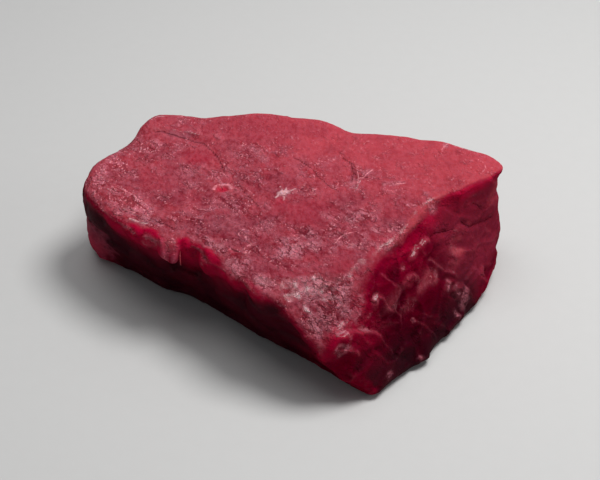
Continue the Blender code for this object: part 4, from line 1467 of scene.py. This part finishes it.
                bulge = np.exp(-((np.maximum(deep, 0.0) / mark.reach) ** 2))
                lift += 1.25 * fade * mark.lift * smooth_step(-0.4, 0.5, deep) * bulge
                # painted highlight along the fold's upper edge
                pale = fade * (0.40 + 0.60 * smooth_step(8.0, 24.0, place[:, 2]))
                lit = np.maximum(lit, pale * np.exp(-(((deep - 0.2) / mark.width) ** 2)))
                continue
            lift += share * mark.lift * np.exp(-((gap / (1.6 * mark.width)) ** 2))
            shown = gap / (2.0 * mark.width) + 9.0 * (1.0 - np.clip(share * 2.0, 0.0, 1.0))
            gaps[mark.trace] = np.minimum(gaps[mark.trace], shown)
        return gaps[Trace.CREASE], gaps[Trace.VEIN], gaps[Trace.STREAK], lift, lit


def distance_to_line(points: np.ndarray, line: np.ndarray) -> tuple[np.ndarray, np.ndarray, np.ndarray]:
    """The way from each point to a line of straight runs.

    Args:
        points: one point a row.
        line: the line's corners, one a row.

    Returns:
        The distance, whether the point lies to the line's right, and how far along
        the line its nearest place is, from 0 to 1.
    """
    nearest = np.full(len(points), np.inf)
    right = np.zeros(len(points), bool)
    along = np.zeros(len(points))
    lengths = np.linalg.norm(np.diff(line, axis=0), axis=1)
    whole, done = lengths.sum(), 0.0
    for start, end, length in zip(line[:-1], line[1:], lengths):
        run = end - start
        share = np.clip((points - start) @ run / (run @ run), 0.0, 1.0)
        gap = np.linalg.norm(points - start - share[:, None] * run, axis=1)
        cross = run[0] * (points[:, 1] - start[1]) - run[1] * (points[:, 0] - start[0])
        closer = gap < nearest
        right = np.where(closer, cross < 0.0, right)
        along = np.where(closer, (done + share * length) / whole, along)
        nearest = np.minimum(nearest, gap)
        done += length
    return nearest, right, along


@dataclass
class Tongue:
    """A thin tapered flap of tissue that hangs from the rim."""

    name: str
    root: Point
    tip: Point
    outward: Point
    width: float
    thickness: float
    curl: float = 0.6
    rings: int = 9

    def build(self, material: bpy.types.Material) -> bpy.types.Object:
        """Models the flap from a cylinder, shaped ring by ring.

        Args:
            material: its finish.

        Returns:
            The finished object.
        """
        root, tip = Vector(self.root), Vector(self.tip)
        down = tip - root
        out = Vector(self.outward).normalized()
        across = down.cross(out).normalized()
        deselect_all()
        bpy.ops.mesh.primitive_cylinder_add(vertices=16, radius=0.5, depth=1.0, end_fill_type="NGON")
        flap = bpy.context.object
        flap.name = self.name
        flap.data.name = self.name
        bpy.ops.object.mode_set(mode="EDIT")
        bpy.ops.mesh.select_all(action="SELECT")
        for level in range(1, self.rings):
            bpy.ops.mesh.select_all(action="SELECT")
            bpy.ops.mesh.bisect(plane_co=(0.0, 0.0, level / self.rings - 0.5), plane_no=(0.0, 0.0, 1.0))
        bpy.ops.object.mode_set(mode="OBJECT")
        for vertex in flap.data.vertices:
            share = 0.5 - vertex.co.z
            taper = math.sqrt(max(0.03, 1.0 - share**2.6))
            wave = 1.0 + 0.25 * noise.noise(Vector((share * 4.0, self.width, 0.3)))
            middle = root + down * share + out * self.curl * math.sin(math.pi * share)
            wide = across * vertex.co.x * self.width * taper * wave
            deep = out * vertex.co.y * self.thickness * taper
            vertex.co = (middle + wide + deep) * MM
        apply_modifier(flap, "SUBSURF", levels=2, render_levels=2)
        bpy.ops.object.mode_set(mode="EDIT")
        bpy.ops.mesh.select_all(action="SELECT")
        bpy.ops.mesh.normals_make_consistent(inside=False)
        bpy.ops.object.mode_set(mode="OBJECT")
        bpy.ops.object.shade_smooth()
        flap.data.materials.append(material)
        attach(flap, "root")
        LOG.info("%s: %d faces", flap.name, len(flap.data.polygons))
        return flap


def rim_tongues() -> tuple[Tongue, ...]:
    """The thread of tissue that hangs at the rim."""
    left_out = (-0.45, -0.88, 0.15)
    return (
        Tongue("rim_thread", (-30.9, -13.0, 30.9), (-31.0, -17.4, 24.2), left_out, 0.55, 0.5, 0.5),
    )


@dataclass
class Studio:
    """The plain floor, the soft lights and the camera."""

    target: Point = (2.0, 22.6, 0.0)
    elevation: float = 40.0
    distance: float = 438.6
    lens: float = 85.0
    floor_size: float = 4.0

    def build(self, finish: PaleFloor) -> None:
        """Sets the whole stage.

        Args:
            finish: the floor's finish.
        """
        self._floor(finish)
        self._lights()
        self._camera()

    def _floor(self, finish: PaleFloor) -> None:
        """Lays the floor just under the steak.

        Args:
            finish: the floor's finish.
        """
        deselect_all()
        bpy.ops.mesh.primitive_plane_add(size=self.floor_size, location=(0.0, 0.0, -0.05 * MM))
        floor = bpy.context.object
        floor.name = "studio_floor"
        floor.data.materials.append(floor_material(finish))

    def _lights(self) -> None:
        """Hangs a soft light above and behind on the right, and two weak ones."""
        self._area("key_light", (0.22, 0.07, 0.55), (0.0, 0.0, 0.03), 0.26, 2.9)
        self._area("soft_light", (-0.10, 0.06, 0.62), (0.0, 0.0, 0.03), 0.40, 0.9)
        self._area("right_light", (0.56, -0.06, 0.30), (0.03, 0.0, 0.02), 0.30, 0.30)
        world = bpy.data.worlds.new("studio_air")
        world.use_nodes = True
        shade = world.node_tree.nodes["Background"]
        shade.inputs["Color"].default_value = (0.92, 0.95, 1.0, 1.0)
        shade.inputs["Strength"].default_value = 0.18
        bpy.context.scene.world = world
        bpy.context.scene.view_settings.view_transform = "Standard"

    def _area(self, name: str, place: Point, aim: Point, size: float, power: float) -> None:
        """Adds one area light.

        Args:
            name: the light's name.
            place: where it hangs, in metres.
            aim: where it points, in metres.
            size: its side, in metres.
            power: its power in watts.
        """
        deselect_all()
        bpy.ops.object.light_add(type="AREA", location=place)
        lamp = bpy.context.object
        lamp.name = name
        lamp.data.shape = "DISK"
        lamp.data.size = size
        lamp.data.energy = power
        lamp.rotation_euler = (Vector(place) - Vector(aim)).to_track_quat("Z", "Y").to_euler()

    def _camera(self) -> None:
        """Puts the camera at the photograph's angle."""
        lift = math.radians(self.elevation)
        back = Vector((0.0, -math.cos(lift), math.sin(lift)))
        place = (Vector(self.target) + back * self.distance) * MM
        deselect_all()
        bpy.ops.object.camera_add(location=place)
        camera = bpy.context.object
        camera.data.lens = self.lens
        camera.data.sensor_width = 36.0
        camera.data.clip_start = 0.01
        camera.rotation_euler = back.to_track_quat("Z", "Y").to_euler()
        bpy.context.scene.camera = camera


def main() -> None:
    """Builds the steak, its membranes and the stage."""
    logging.basicConfig(level=logging.INFO, format="%(name)s: %(message)s")
    grain = GrainGroup()
    SteakSkin().build(muscle_material(CutMuscle(), grain))
    tissue = membrane_material(WetMembrane(), grain)
    for tongue in rim_tongues():
        tongue.build(tissue)
    Studio().build(PaleFloor())


if __name__ == "__main__":
    main()
